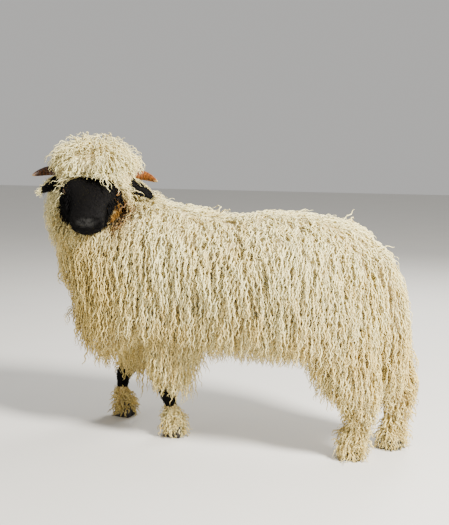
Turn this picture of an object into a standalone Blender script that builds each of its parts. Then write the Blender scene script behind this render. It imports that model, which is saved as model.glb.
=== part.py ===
"""Life-size standing sheep in full fleece, looking back over its left shoulder.

Every soft solid is the outer shape of the coat, out to the tips of its locks. The body is lofted
from named sections, hung with locks along its hems, joined into one skin and parted by thin cuts.
Face, horns, eyes, ears and hooves are solids of their own, let into that skin.
Metres, +Z up, chest towards -X, the sheep's left side towards -Y, soles on Z = 0.
"""
import math

import bmesh
import bpy
import numpy as np
from mathutils import Matrix, Vector, noise

GAP = 0.0003  # clearance between neighbouring solids
VOXEL = 0.010  # grid of the joined body
BODY_TRIANGLES = 2950

# Head: where it is carried and which way it looks
POLL = Vector((-0.585, -0.118, 0.874))  # middle of the skull, between the roots of the horns
HEAD_TURN = math.radians(113.5)  # from the way the body points round to the sheep's left
HEAD_ROLL = math.radians(3)  # crown tipped over to the sheep's left
HEAD_PITCH = math.radians(26.5)  # line of the face below the horizontal
HEAD_LENGTH = 0.268  # poll to upper lip
EYE_SHARE = 0.36  # how far along the head the eyes are
EYE_SPREAD = 0.083  # half the distance between the middles of the eyes
EYE_RADIUS = 0.0140
EAR_LENGTH = 0.130
EAR_HALF_WIDTH = 0.029
HORN_REACH = 0.217  # from the middle of the head to the tip
HORN_RADIUS = 0.0185

# Feet
HOOF_LENGTH = 0.066
HOOF_HEIGHT = 0.042
CLAW_HALF_WIDTH = 0.0135
CLEFT = 0.005  # space between the two claws of a foot
FEET = {  # x and y under the middle of each hoof
    "front_left": (-0.300, -0.090),
    "front_right": (-0.580, 0.070),
    "hind_left": (0.337, -0.095),
    "hind_right": (0.432, 0.064),
}
SHANK_TOP = {"front": 0.195, "hind": 0.205}
LEG_TOP = 0.300

# Axes of the head: level and forward, to the sheep's own right, up through the crown, along the face,
# out of the brow
UP = Vector((0, 0, 1))
WORLD = (Vector((1, 0, 0)), Vector((0, 1, 0)), UP)
FACING = Vector((-math.cos(HEAD_TURN), -math.sin(HEAD_TURN), 0))
RIGHT = FACING.cross(UP) * math.cos(HEAD_ROLL) + UP * math.sin(HEAD_ROLL)
CROWN = RIGHT.cross(FACING)
ALONG = FACING * math.cos(HEAD_PITCH) - CROWN * math.sin(HEAD_PITCH)
BROW = RIGHT.cross(ALONG)

FLEECE = ((0.80, 0.73, 0.58), 0.95)  # base colour, roughness
BLACK_HAIR = ((0.02, 0.018, 0.017), 0.80)
HORN = ((0.38, 0.20, 0.08), 0.45)
HOOF = ((0.03, 0.027, 0.025), 0.50)
EYE = ((0.05, 0.03, 0.015), 0.10)

# Sections of the trunk with its coat: x, top, hem, half width
TRUNK = (
    (-0.775, 0.722, 0.630, 0.062),
    (-0.750, 0.748, 0.582, 0.108),
    (-0.706, 0.775, 0.506, 0.148),
    (-0.655, 0.800, 0.408, 0.180),
    (-0.600, 0.814, 0.298, 0.200),
    (-0.545, 0.820, 0.240, 0.213),
    (-0.470, 0.824, 0.224, 0.226),
    (-0.400, 0.824, 0.244, 0.234),
    (-0.280, 0.808, 0.300, 0.243),
    (-0.130, 0.782, 0.322, 0.247),
    (0.035, 0.800, 0.308, 0.254),
    (0.180, 0.794, 0.298, 0.254),
    (0.290, 0.770, 0.262, 0.238),
    (0.365, 0.724, 0.250, 0.205),
    (0.420, 0.655, 0.265, 0.155),
    (0.450, 0.560, 0.330, 0.090),
)
# Neck wool: middle, half width, half thickness
NECK = (
    ((-0.440, 0.000, 0.560), 0.170, 0.150),
    ((-0.540, -0.010, 0.640), 0.172, 0.158),
    ((-0.612, -0.037, 0.715), 0.172, 0.162),
    ((-0.630, -0.062, 0.800), 0.168, 0.152),
    ((-0.618, -0.080, 0.870), 0.150, 0.130),
)
# Face with its short hair: share of the head's length, half width, above the line of the face, below it
FACE = (
    (0.06, 0.094, 0.052, 0.088),
    (0.26, 0.101, 0.058, 0.096),
    (0.40, 0.093, 0.057, 0.093),
    (0.54, 0.077, 0.053, 0.082),
    (0.68, 0.063, 0.048, 0.066),
    (0.81, 0.057, 0.043, 0.056),
    (0.92, 0.053, 0.036, 0.050),
)
# Tail: middle, half width, half thickness
TAIL = (
    ((0.380, 0.0, 0.680), 0.036, 0.040),
    ((0.430, 0.0, 0.590), 0.046, 0.042),
    ((0.452, 0.0, 0.470), 0.052, 0.043),
    ((0.458, 0.0, 0.350), 0.052, 0.041),
    ((0.460, 0.0, 0.260), 0.045, 0.036),
    ((0.460, 0.0, 0.200), 0.024, 0.024),
)
# Legs with their wool, as offsets from the middle of the hoof:
# forward, outward, height, half width, half length fore and aft
NEAR_FORE = (
    (0.000, 0.015, 0.480, 0.090, 0.120),
    (-0.005, 0.035, 0.330, 0.080, 0.116),
    (0.000, 0.040, 0.240, 0.066, 0.084),
    (0.008, 0.030, 0.192, 0.048, 0.060),
    (0.020, 0.012, 0.150, 0.031, 0.031),
    (0.004, 0.000, 0.100, 0.040, 0.042),
    (-0.004, 0.000, 0.050, 0.047, 0.050),
    (-0.004, 0.000, 0.024, 0.040, 0.042),
)
FAR_FORE = (
    (-0.100, 0.010, 0.480, 0.085, 0.100),
    (-0.060, 0.030, 0.330, 0.074, 0.090),
    (-0.025, 0.032, 0.240, 0.056, 0.064),
    (-0.006, 0.024, 0.192, 0.040, 0.044),
    (0.004, 0.012, 0.150, 0.031, 0.031),
    (0.002, 0.000, 0.100, 0.039, 0.040),
    (0.000, 0.000, 0.050, 0.044, 0.046),
    (0.000, 0.000, 0.024, 0.038, 0.040),
)
NEAR_HIND = (
    (0.070, 0.005, 0.520, 0.100, 0.150),
    (0.050, 0.022, 0.400, 0.096, 0.130),
    (0.010, 0.022, 0.300, 0.084, 0.118),
    (-0.014, 0.014, 0.215, 0.068, 0.094),
    (-0.024, 0.006, 0.150, 0.056, 0.066),
    (-0.006, 0.000, 0.095, 0.050, 0.054),
    (0.000, 0.000, 0.050, 0.052, 0.050),
    (0.000, 0.000, 0.024, 0.044, 0.042),
)
FAR_HIND = (
    (0.130, 0.005, 0.520, 0.100, 0.140),
    (0.090, 0.022, 0.400, 0.094, 0.120),
    (0.040, 0.018, 0.300, 0.080, 0.096),
    (0.006, 0.012, 0.215, 0.064, 0.070),
    (-0.008, 0.006, 0.150, 0.054, 0.055),
    (-0.004, 0.000, 0.095, 0.049, 0.050),
    (0.000, 0.000, 0.050, 0.052, 0.050),
    (0.000, 0.000, 0.024, 0.044, 0.042),
)
LEGS = {
    "front_left": NEAR_FORE,
    "front_right": FAR_FORE,
    "hind_left": NEAR_HIND,
    "hind_right": FAR_HIND,
}


def head_point(along, right, out):
    """A place in the head: metres from the poll along the face, to the sheep's right, out of the brow."""
    return POLL + ALONG * along + RIGHT * right + BROW * out


def level_point(forward, right, up):
    """The same from the poll, but level: forward over the ground, to the right, and up through the crown."""
    return POLL + FACING * forward + RIGHT * right + CROWN * up


def clear_scene():
    for obj in list(bpy.data.objects):
        bpy.data.objects.remove(obj)


def material(name, look):
    colour, roughness = look
    made = bpy.data.materials.new(name)
    made.use_nodes = True
    shader = made.node_tree.nodes["Principled BSDF"]
    shader.inputs["Base Color"].default_value = (*colour, 1)
    shader.inputs["Roughness"].default_value = roughness
    return made


def add_object(name, mesh):
    obj = bpy.data.objects.new(name, mesh)
    bpy.context.scene.collection.objects.link(obj)
    return obj


def through(rows, per_span):
    """Rows of numbers carried smoothly through the given ones by a Catmull-Rom curve."""
    rows = np.asarray(rows, float)
    ends = np.vstack([2 * rows[0] - rows[1], rows, 2 * rows[-1] - rows[-2]])
    t = np.arange(per_span)[:, None] / per_span
    spans = []
    for a, b, c, d in zip(ends, ends[1:], ends[2:], ends[3:]):
        square = (2 * a - 5 * b + 4 * c - d) * t**2
        cube = (3 * b - a - 3 * c + d) * t**3
        spans.append(0.5 * (2 * b + (c - a) * t + square + cube))
    return np.vstack([*spans, rows[-1:]])


def mesh_through(rings):
    """A closed mesh through rings of points, with a face over each end."""
    shape = bmesh.new()
    loops = [[shape.verts.new(point) for point in ring] for ring in rings]
    for lower, upper in zip(loops, loops[1:]):
        for i, corner in enumerate(lower):
            shape.faces.new((lower[i - 1], corner, upper[i]))
            shape.faces.new((lower[i - 1], upper[i], upper[i - 1]))
    shape.faces.new(loops[0])
    shape.faces.new(loops[-1])
    bmesh.ops.recalc_face_normals(shape, faces=shape.faces)
    return mesh_of(shape)


def mesh_of(shape):
    mesh = bpy.data.meshes.new("form")
    shape.to_mesh(mesh)
    shape.free()
    return mesh


def signed_power(values, power):
    return np.sign(values) * np.abs(values) ** power


def tube_rings(path, across, wide, over, under, square=2.0, count=20, grow=0.0):
    """Rings square to a path: wide towards across, over and under at right angles to it.

    Square is the power of the superellipse, 2 for a round ring and more for a boxy one.
    Grow moves the sides and both ends outwards.
    """
    path = np.array(path, float)
    tangent = np.gradient(path, axis=0)
    tangent /= np.linalg.norm(tangent, axis=1)[:, None]
    path[0] -= tangent[0] * grow
    path[-1] += tangent[-1] * grow
    wide, over, under = wide + grow, over + grow, under + grow
    across = np.broadcast_to(np.asarray(across, float), path.shape)
    across = across - (across * tangent).sum(1)[:, None] * tangent
    across /= np.linalg.norm(across, axis=1)[:, None]
    above = np.cross(across, tangent)
    angle = np.arange(count) * 2 * math.pi / count
    side = wide[:, None] * signed_power(np.cos(angle), 2 / square)
    rise = signed_power(np.sin(angle), 2 / square)
    rise = np.where(rise > 0, over[:, None], under[:, None]) * rise
    return path[:, None] + side[..., None] * across[:, None] + rise[..., None] * above[:, None]


def tube(stations, across=(0, 1, 0)):
    """A closed tube through (middle, half width, half thickness) stations."""
    rows = through([(*middle, wide, thick) for middle, wide, thick in stations], 3)
    return mesh_through(tube_rings(rows[:, :3], across, rows[:, 3], rows[:, 4], rows[:, 4]))


def trunk():
    """Barrel of the body: round over the back, upright at the flanks and flat along the hem."""
    back_power, hem_power, count = 0.88, 0.55, 28
    rows = through(TRUNK, 3)
    middle = (rows[:, 1] + 1.2 * rows[:, 2])[:, None] / 2.2
    angle = np.arange(count) * 2 * math.pi / count
    rise = np.sin(angle)
    height = (rows[:, 1:2] - middle) * signed_power(rise, back_power)
    drop = (middle - rows[:, 2:3]) * signed_power(rise, hem_power)
    z = middle + np.where(rise > 0, height, drop)
    y = rows[:, 3:4] * signed_power(np.cos(angle), back_power)
    x = np.broadcast_to(rows[:, :1], y.shape)
    return mesh_through(np.stack([x, y, z], axis=2))


def leg_stations(name):
    """A leg's stations in the world, from its offsets and the place of its hoof."""
    foot_x, foot_y = FEET[name]
    outward = math.copysign(1, foot_y)
    return [
        ((foot_x - forward, foot_y + outward * out, height), wide, long)
        for forward, out, height, wide, long in LEGS[name]
    ]


def ball(centre, axes, radii, segments=24):
    """An egg with its three radii along the given axes."""
    shape = bmesh.new()
    bmesh.ops.create_uvsphere(shape, u_segments=segments, v_segments=segments // 2, radius=1)
    return placed(shape, centre, axes, radii)


def placed(shape, centre, axes, sizes):
    """A unit shape scaled along three axes and set at its centre."""
    turn = Matrix([[a[i] * s for a, s in zip(axes, sizes)] for i in range(3)]).to_4x4()
    turn.translation = centre
    shape.transform(turn)
    if turn.determinant() < 0:
        bmesh.ops.reverse_faces(shape, faces=shape.faces)
    return mesh_of(shape)


def head_wool():
    """Topknot over the skull with its fringe, and the wool of cheeks and nape."""
    level = (RIGHT, FACING, CROWN)
    return [
        ball(level_point(-0.015, 0, 0.022), level, (0.172, 0.112, 0.132)),
        ball(level_point(-0.010, 0, 0.060), level, (0.152, 0.120, 0.104)),
        ball(level_point(0.046, 0, 0.074), level, (0.128, 0.084, 0.066)),
        ball(level_point(-0.045, 0, -0.060), level, (0.172, 0.110, 0.140)),
    ]


def lock(root, length, radius, lean=(0, 0)):
    """A pointed lock that hangs from its root, waves a little and ends in a curl."""
    t = np.linspace(0, 1, 7)
    sway = 0.25 * radius * np.sin(2 * math.pi * t)
    path = np.column_stack([root[0] + lean[0] * t + sway, root[1] + lean[1] * t, root[2] - length * t])
    size = radius * np.sin(math.pi * (0.12 + 0.88 * t)) ** 0.8 + 0.0012
    return mesh_through(tube_rings(path, (0, 1, 0), size, size, size, count=8))


def hem_locks():
    """Locks along the hem of the trunk, on both sides, and round the wool of each leg."""
    spacing = 0.064
    made = []
    hem = through(TRUNK, 6)
    for side in (-1, 1):
        for n, x in enumerate(np.arange(-0.72, 0.24, spacing)):
            low = np.interp(x, hem[:, 0], hem[:, 2])
            wide = np.interp(x, hem[:, 0], hem[:, 3])
            length = 0.096 + 0.010 * math.sin(2.4 * n + side)
            made.append(lock((x, side * 0.80 * wide, low + 0.072), length, 0.031))
    for name in LEGS:
        stations = leg_stations(name)
        made += ring_of_locks(stations[2], 6, 0.080, 0.029)
    return made


def ring_of_locks(station, count, length, radius):
    """Locks hanging round a leg from one of its stations."""
    middle, wide, long = station
    made = []
    for n in range(count):
        angle = 2 * math.pi * (n + 0.3) / count
        x = middle[0] + 0.80 * long * math.cos(angle)
        y = middle[1] + 0.80 * wide * math.sin(angle)
        root = (x, y, middle[2])
        made.append(lock(root, length * (1 + 0.10 * math.sin(2.1 * n)), radius))
    return made


def joined_body():
    """All woolly forms as one closed skin with broad lock masses, thinned to few faces."""
    forms = [trunk(), tube(NECK), tube(TAIL), *head_wool(), *hem_locks()]
    forms += [tube(leg_stations(name)) for name in LEGS]
    shape = bmesh.new()
    for form in forms:
        shape.from_mesh(form)
        bpy.data.meshes.remove(form)
    obj = add_object("body", mesh_of(shape))
    join = obj.modifiers.new("Join", "REMESH")
    join.mode = "VOXEL"
    join.voxel_size = VOXEL
    soften = obj.modifiers.new("Soften", "SMOOTH")
    soften.factor = 0.5
    soften.iterations = 2
    whole = finished(obj)
    ruffle(whole)
    obj = add_object("body", whole)
    thin = obj.modifiers.new("Thin", "DECIMATE")
    thin.ratio = BODY_TRIANGLES / (2 * len(whole.polygons))
    return largest_body(finished(obj))


def ruffle(mesh):
    """Pushes the skin out and in by a few millimetres, in lock masses that are taller than wide."""
    depth, width, height = 0.010, 0.055, 0.150
    moved = []
    for vertex in mesh.vertices:
        x, y, z = vertex.co
        mass = noise.noise((x / width, y / width, z / height))
        moved.extend(vertex.co + vertex.normal * depth * mass)
    mesh.vertices.foreach_set("co", moved)


def finished(obj):
    """The object's mesh with its modifiers applied; the object itself is removed."""
    bpy.context.view_layer.update()
    graph = bpy.context.evaluated_depsgraph_get()
    mesh = bpy.data.meshes.new_from_object(obj.evaluated_get(graph))
    bpy.data.objects.remove(obj)
    return mesh


def combined(mesh, cutter_mesh, operation):
    """The largest body that a Boolean with the cutter leaves of the mesh.

    The Manifold solver is used, as the Exact one leaves pinholes where a cut grazes the ruffled skin.
    """
    obj = add_object("work", mesh)
    cutter = add_object("cutter", cutter_mesh)
    boolean = obj.modifiers.new("Cut", "BOOLEAN")
    boolean.operation = operation
    boolean.solver = "MANIFOLD"
    boolean.object = cutter
    left = finished(obj)
    bpy.data.objects.remove(cutter)
    bpy.data.meshes.remove(cutter_mesh)
    return largest_body(left)


def largest_body(mesh):
    """The mesh without the crumbs that a cut leaves beside the main body."""
    shape = bmesh.new()
    shape.from_mesh(mesh)
    unseen = set(shape.verts)
    bodies = []
    while unseen:
        body = [unseen.pop()]
        for vertex in body:
            near = {edge.other_vert(vertex) for edge in vertex.link_edges} & unseen
            unseen -= near
            body.extend(near)
        bodies.append(body)
    bodies.sort(key=len)
    crumbs = [vertex for body in bodies[:-1] for vertex in body]
    bmesh.ops.delete(shape, geom=crumbs, context="VERTS")
    return mesh_of(shape)


def box(centre, axes, halves, grow=0.0):
    """A box with its half sizes along the given axes, each side moved out by grow."""
    shape = bmesh.new()
    bmesh.ops.create_cube(shape, size=2)
    return placed(shape, centre, axes, [half + grow for half in halves])


def face(grow=0.0):
    """The face from behind the eyes to the lips, with brows, cheeks, nostrils and mouth."""
    rows = through(FACE, 2)
    nose = np.linspace(0, 1, 5)[1:, None]
    round_off = np.sqrt(1 - (0.97 * nose) ** 2) ** 0.8
    tip = np.hstack([rows[-1, 0] + (1 - rows[-1, 0]) * nose, rows[-1, 1:] * round_off])
    rows = np.vstack([rows, tip])
    path = np.array([head_point(share * HEAD_LENGTH, 0, 0) for share in rows[:, 0]])
    plain, grown = [
        tube_rings(path, RIGHT, *rows.T[1:], square=2.35, count=26, grow=clearance) for clearance in (0, grow)
    ]
    outward = plain - path[:, None]
    outward /= np.linalg.norm(outward, axis=2)[..., None]
    return mesh_through(grown + outward * face_relief(plain)[..., None])


def face_relief(points):
    """How far each point of the face stands out: bumps and dents as bells round named places."""
    offset = points - np.array(POLL)
    along = offset @ np.array(ALONG) / HEAD_LENGTH
    right = np.abs(offset @ np.array(RIGHT))
    out = offset @ np.array(BROW)

    def bell(share, aside, height, length, breadth, depth):
        """A bell of the given half sizes round a place on both sides of the face."""
        far = ((along - share) * HEAD_LENGTH / length) ** 2
        far = far + ((right - aside) / breadth) ** 2 + ((out - height) / depth) ** 2
        return np.exp(-far)

    relief = 0.008 * bell(EYE_SHARE - 0.02, 0.070, 0.040, 0.030, 0.026, 0.016)
    relief += 0.005 * bell(0.26, 0.085, -0.045, 0.045, 0.040, 0.040)
    relief += 0.004 * bell(0.74, 0.000, 0.046, 0.060, 0.026, 0.030)
    relief += 0.005 * bell(0.93, 0.040, -0.012, 0.022, 0.018, 0.018)
    relief -= 0.009 * bell(0.985, 0.021, 0.010, 0.014, 0.010, 0.009)
    relief -= 0.004 * bell(1.00, 0.000, -0.010, 0.020, 0.005, 0.020)
    mouth = -0.020 - 0.10 * np.clip(0.98 - along, 0, 1) * HEAD_LENGTH
    relief -= 0.006 * np.exp(-(((out - mouth) / 0.008) ** 2)) * (along > 0.70)
    return relief


def horn(side, grow=0.0):
    """A short horn that leaves the poll sideways, bows back and comes forward again to its tip."""
    growth_rings = 4
    t = np.linspace(0, 1, 13)
    root = 0.105
    aside = side * (root + (HORN_REACH - root) * t)
    back = -0.020 - 0.034 * np.sin(math.pi * t) + 0.018 * t
    height = 0.034 + 0.006 * np.sin(math.pi * t) - 0.016 * t**2
    path = [level_point(b, a, h) for b, a, h in zip(back, aside, height)]
    ridged = 1 + 0.05 * np.cos(2 * math.pi * growth_rings * t) * (t < 0.9)
    size = HORN_RADIUS * (1 - t**2.8) ** 0.7 * ridged + 0.0015
    return mesh_through(tube_rings(path, FACING, 0.80 * size, size, size, count=10, grow=grow))


def ear(side, grow=0.0):
    """A leaf of an ear, cupped along its length, that hangs outwards from behind the eye."""
    t = np.linspace(0, 1, 7)
    droop = math.radians(26)
    reach = EAR_LENGTH * t
    aside = side * (0.078 + reach * math.cos(droop))
    height = 0.022 - reach * math.sin(droop) - 0.022 * t**2
    path = [level_point(0.004 + 0.020 * u, a, h) for u, a, h in zip(t, aside, height)]
    leaf = np.sin(math.pi * (0.16 + 0.84 * t)) ** 0.65
    wide = EAR_HALF_WIDTH * leaf + 0.002
    thick = 0.0055 * leaf + 0.0014
    broad = -CROWN * 0.8 + FACING * 0.5
    return mesh_through(tube_rings(path, broad, wide, thick, thick, count=10, grow=grow))


def eye(side, grow=0.0):
    centre = head_point(EYE_SHARE * HEAD_LENGTH, side * EYE_SPREAD, 0.022)
    return ball(centre, (RIGHT, ALONG, BROW), [EYE_RADIUS + grow] * 3, 10)


def claw(foot, side, grow):
    """One of a hoof's two claws: flat sole, sloping wall and a blunt toe towards the front."""
    foot_x, foot_y = foot
    t = np.linspace(0, 1, 4)
    arch = np.linspace(0, math.pi, 6)
    x = foot_x + HOOF_LENGTH * (0.46 - t) + grow * (1 - 2 * t)
    height = HOOF_HEIGHT * (1 - 0.62 * t**1.4) + grow
    half = CLAW_HALF_WIDTH * np.sqrt(1.02 - (1.15 * t - 0.25) ** 2) + grow
    middle = foot_y + side * ((CLEFT / 2 + CLAW_HALF_WIDTH) - 0.004 * t**2)
    y = middle[:, None] + half[:, None] * np.cos(arch)
    z = height[:, None] * np.sin(arch) ** 0.5
    z[:, 0] = z[:, -1] = -grow
    return mesh_through(np.stack([np.broadcast_to(x[:, None], y.shape), y, z], axis=2))


def hoof(foot, grow=0.0):
    """Both claws on the short pastern that carries them."""
    centre = (foot[0] + 0.006, foot[1], 0.046)
    pastern = ball(centre, WORLD, [size + grow for size in (0.024, 0.022, 0.020)], 6)
    one_toe = combined(claw(foot, -1, grow), pastern, "UNION")
    return combined(one_toe, claw(foot, 1, grow), "UNION")


def soft_parts():
    """Box of each woolly part in the order of cutting: name, centre, axes, half sizes."""
    chin_tilt = math.radians(14)
    throat = FACING * math.cos(chin_tilt) - CROWN * math.sin(chin_tilt)
    nape = FACING * math.sin(chin_tilt) + CROWN * math.cos(chin_tilt)
    neck_tilt = math.radians(50)
    forward = Vector((-math.sin(neck_tilt), 0, math.cos(neck_tilt)))
    aside = Vector((math.cos(neck_tilt), 0, math.sin(neck_tilt)))
    parts = [
        ("head", level_point(0.04, 0, -0.085) + nape * 0.2, (throat, RIGHT, nape), (0.24, 0.188, 0.2)),
        ("neck", Vector((-0.540, 0, 0.630)) + forward * 0.3, (aside, WORLD[1], forward), (0.30, 0.32, 0.3)),
        ("tail", Vector((0.50, 0, 0.435)), WORLD, (0.072, 0.060, 0.255)),
    ]
    inner, outer, depth = 0.008, 0.290, 0.2
    for name, (x, y) in FEET.items():
        middle = math.copysign((inner + outer) / 2, y)
        halves = ((outer - inner) / 2, depth)
        top = SHANK_TOP[name.split("_")[0]]
        parts.append((f"shank_{name}", Vector((x, middle, top - depth)), WORLD, (0.14, *halves)))
        thigh = leg_stations(name)[2][0][0]
        parts.append((f"leg_{name}", Vector((thigh, middle, LEG_TOP - depth)), WORLD, (0.130, *halves)))
    return parts


def wool_nodes():
    """The joined body parted into its named pieces, with a gap at every cut."""
    rest = joined_body()
    nodes = {}
    for name, centre, axes, halves in soft_parts():
        nodes[name] = combined(rest.copy(), box(centre, axes, halves), "INTERSECT")
        rest = combined(rest, box(centre, axes, halves, GAP), "DIFFERENCE")
    nodes["trunk"] = rest
    return nodes


def centre(nodes):
    """Moves every mesh so that the middle of the sheep's box stands over the origin."""
    points = np.array([vertex.co for mesh in nodes.values() for vertex in mesh.vertices])
    middle = (points.min(axis=0) + points.max(axis=0)) / 2
    for mesh in nodes.values():
        mesh.transform(Matrix.Translation((-middle[0], -middle[1], 0)))


def build():
    clear_scene()
    nodes = wool_nodes()
    nodes["face"] = face()
    for name in ("head", "neck", "trunk"):
        nodes[name] = combined(nodes[name], face(GAP), "DIFFERENCE")
    for side, label in ((1, "right"), (-1, "left")):
        for name in ("head", "neck", "trunk", "face"):
            for inset in (horn, ear, eye):
                nodes[name] = combined(nodes[name], inset(side, GAP), "DIFFERENCE")
        nodes[f"horn_{label}"] = horn(side)
        nodes[f"ear_{label}"] = ear(side)
        nodes[f"eye_{label}"] = eye(side)
    for name, foot in FEET.items():
        nodes[f"shank_{name}"] = combined(nodes[f"shank_{name}"], hoof(foot, GAP), "DIFFERENCE")
        nodes[f"hoof_{name}"] = hoof(foot)
    centre(nodes)
    looks = {"face": BLACK_HAIR, "ear": BLACK_HAIR, "horn": HORN, "hoof": HOOF, "eye": EYE}
    for name, mesh in nodes.items():
        mesh.materials.clear()
        mesh.materials.append(material(name, looks.get(name.split("_")[0], FLEECE)))
        mesh.shade_smooth()
        add_object(name, mesh)


build()
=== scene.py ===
import math

import bpy
import numpy as np
from mathutils import Matrix, Vector


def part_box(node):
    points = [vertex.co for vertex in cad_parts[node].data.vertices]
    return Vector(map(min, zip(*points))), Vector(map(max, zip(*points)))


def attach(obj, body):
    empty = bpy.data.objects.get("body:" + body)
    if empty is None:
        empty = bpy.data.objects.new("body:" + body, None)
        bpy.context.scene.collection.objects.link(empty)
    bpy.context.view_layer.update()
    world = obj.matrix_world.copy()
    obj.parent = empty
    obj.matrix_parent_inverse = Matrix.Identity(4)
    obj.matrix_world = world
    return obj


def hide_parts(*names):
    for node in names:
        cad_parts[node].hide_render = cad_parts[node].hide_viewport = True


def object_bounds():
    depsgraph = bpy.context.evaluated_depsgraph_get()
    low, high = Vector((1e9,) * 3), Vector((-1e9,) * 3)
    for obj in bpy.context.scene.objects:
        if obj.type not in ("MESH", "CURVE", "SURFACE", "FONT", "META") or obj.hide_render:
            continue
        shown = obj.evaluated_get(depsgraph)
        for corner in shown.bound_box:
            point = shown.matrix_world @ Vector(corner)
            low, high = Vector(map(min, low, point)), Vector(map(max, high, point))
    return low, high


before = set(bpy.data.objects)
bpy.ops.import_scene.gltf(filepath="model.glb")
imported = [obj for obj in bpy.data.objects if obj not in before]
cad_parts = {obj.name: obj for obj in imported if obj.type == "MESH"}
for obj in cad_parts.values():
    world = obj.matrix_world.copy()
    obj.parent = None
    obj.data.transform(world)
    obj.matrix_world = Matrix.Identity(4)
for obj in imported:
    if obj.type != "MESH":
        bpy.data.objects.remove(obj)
cadLow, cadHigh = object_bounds()
print("frame loaded:", len(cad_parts), "nodes")

up = np.array([0.0, 0.0, 1.0])
signOf = dict(left=-1, right=1)  # metres aside are counted towards the animal's right
noQuads, noTriangles = np.zeros((0, 4), int), np.zeros((0, 3), int)


def unit(v):
    return v / np.maximum(np.linalg.norm(v, axis=-1, keepdims=True), 1e-9)


def dot(a, b):
    return (a * b).sum(-1)


def ease(x):
    # 3x^2 - 2x^3 between 0 and 1
    x = np.clip(x, 0, 1)
    return x * x * (3 - 2 * x)


def through(rows, perSpan):
    # Catmull-Rom curve through the rows: 0.5 (2b + (c-a)t + (2a-5b+4c-d)t^2 + (3b-a-3c+d)t^3)
    rows = np.asarray(rows, float)
    ends = np.vstack([2 * rows[0] - rows[1], rows, 2 * rows[-1] - rows[-2]])
    t = (np.arange(perSpan) / perSpan)[None, :, None]
    a, b, c, d = [ends[i:len(ends) - 3 + i, None] for i in range(4)]
    spans = 0.5 * (2 * b + (c - a) * t + (2 * a - 5 * b + 4 * c - d) * t**2 + (3 * b - a - 3 * c + d) * t**3)
    return np.vstack([spans.reshape(-1, rows.shape[1]), rows[-1:]])


def fill(items, what, values):
    items.foreach_set(what, np.asarray(values, np.float32).ravel())


def meshFrom(name, points, quads, triangles):
    mesh = bpy.data.meshes.new(name)
    corners = np.concatenate([quads.ravel(), triangles.ravel()]).astype(np.int32)
    starts = np.concatenate([np.arange(len(quads)) * 4, quads.size + np.arange(len(triangles)) * 3])
    mesh.vertices.add(len(points))
    fill(mesh.vertices, "co", points)
    mesh.loops.add(len(corners))
    mesh.loops.foreach_set("vertex_index", corners)
    mesh.polygons.add(len(starts))
    mesh.polygons.foreach_set("loop_start", starts.astype(np.int32))
    mesh.update(calc_edges=True)
    return mesh


def outward(points, quads, triangles):
    # the same faces, turned round if the volume they enclose comes out negative
    halves = np.concatenate([quads[:, [0, 1, 2]], quads[:, [0, 2, 3]], triangles])
    a, b, c = [points[halves[:, k]] for k in range(3)]
    if dot(a, np.cross(b, c)).sum() < 0:
        return quads[:, ::-1], triangles[:, ::-1]
    return quads, triangles


def gridQuads(spans, rows, cols):
    # the quads between neighbouring rings, so many spans of them, wrapping round
    i, j = np.meshgrid(np.arange(spans), np.arange(cols), indexing="ij")
    n, k = (i + 1) % rows, (j + 1) % cols
    return np.stack([i * cols + j, i * cols + k, n * cols + k, n * cols + j], -1).reshape(-1, 4)


def shellFaces(rings):
    # places and faces of a closed shell: quads between rings, a fan of triangles to a pole at each end
    rows, cols, _ = rings.shape
    spots = np.vstack([rings.reshape(-1, 3), rings[0].mean(0), rings[-1].mean(0)])
    j, k = np.arange(cols), (np.arange(cols) + 1) % cols
    first = np.stack([np.full(cols, rows * cols), k, j], -1)
    last = np.stack([np.full(cols, rows * cols + 1), (rows - 1) * cols + j, (rows - 1) * cols + k], -1)
    return spots, *outward(spots, gridQuads(rows - 1, rows, cols), np.vstack([first, last]))


def shellsIn(name, shells):
    # several shells, each given as places, quads and triangles, in one mesh
    starts = np.cumsum([0] + [len(shell[0]) for shell in shells])
    quads, triangles = [np.vstack([shell[k] + start for shell, start in zip(shells, starts)]) for k in (1, 2)]
    return meshFrom(name, np.vstack([shell[0] for shell in shells]), quads, triangles), quads, triangles


def gridShell(name, grids, mapped=False):
    # closed shells over one or more grids of rings
    grids = grids if isinstance(grids, list) else [grids]
    mesh, quads, triangles = shellsIn(name, [shellFaces(rings) for rings in grids])
    if mapped:
        around, along = [], []
        for rows, cols, _ in [rings.shape for rings in grids]:
            around += [np.tile(np.arange(cols) / cols, rows), [-1, -1]]
            along += [np.repeat(np.arange(rows) / (rows - 1), cols), [0, 1]]
        mapShell(mesh, quads, triangles, np.concatenate(around), np.concatenate(along))
    return mesh


def mapShell(mesh, quads, triangles, around, along):
    # the two shares on every corner: the first column reads 1 where the ring closes on it, and a pole,
    # marked -1, takes the larger share of its triangle
    parts = []
    for faces in (quads, triangles):
        u, v = around[faces], along[faces]
        u = np.where((u == 0) & (u.max(1) > 0.6)[:, None], 1.0, u)
        u = np.where(u < 0, u.max(1)[:, None], u)
        parts.append(np.stack([u, v], -1).reshape(-1, 2))
    fill(mesh.uv_layers.new(name="OFBake").uv, "vector", np.vstack(parts) * 0.98 + 0.01)


def torusShell(name, rings):
    # closed shell over a grid that joins up both ways
    rows, cols, _ = rings.shape
    points = rings.reshape(-1, 3)
    return meshFrom(name, points, *outward(points, gridQuads(rows, rows, cols), noTriangles))


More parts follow.
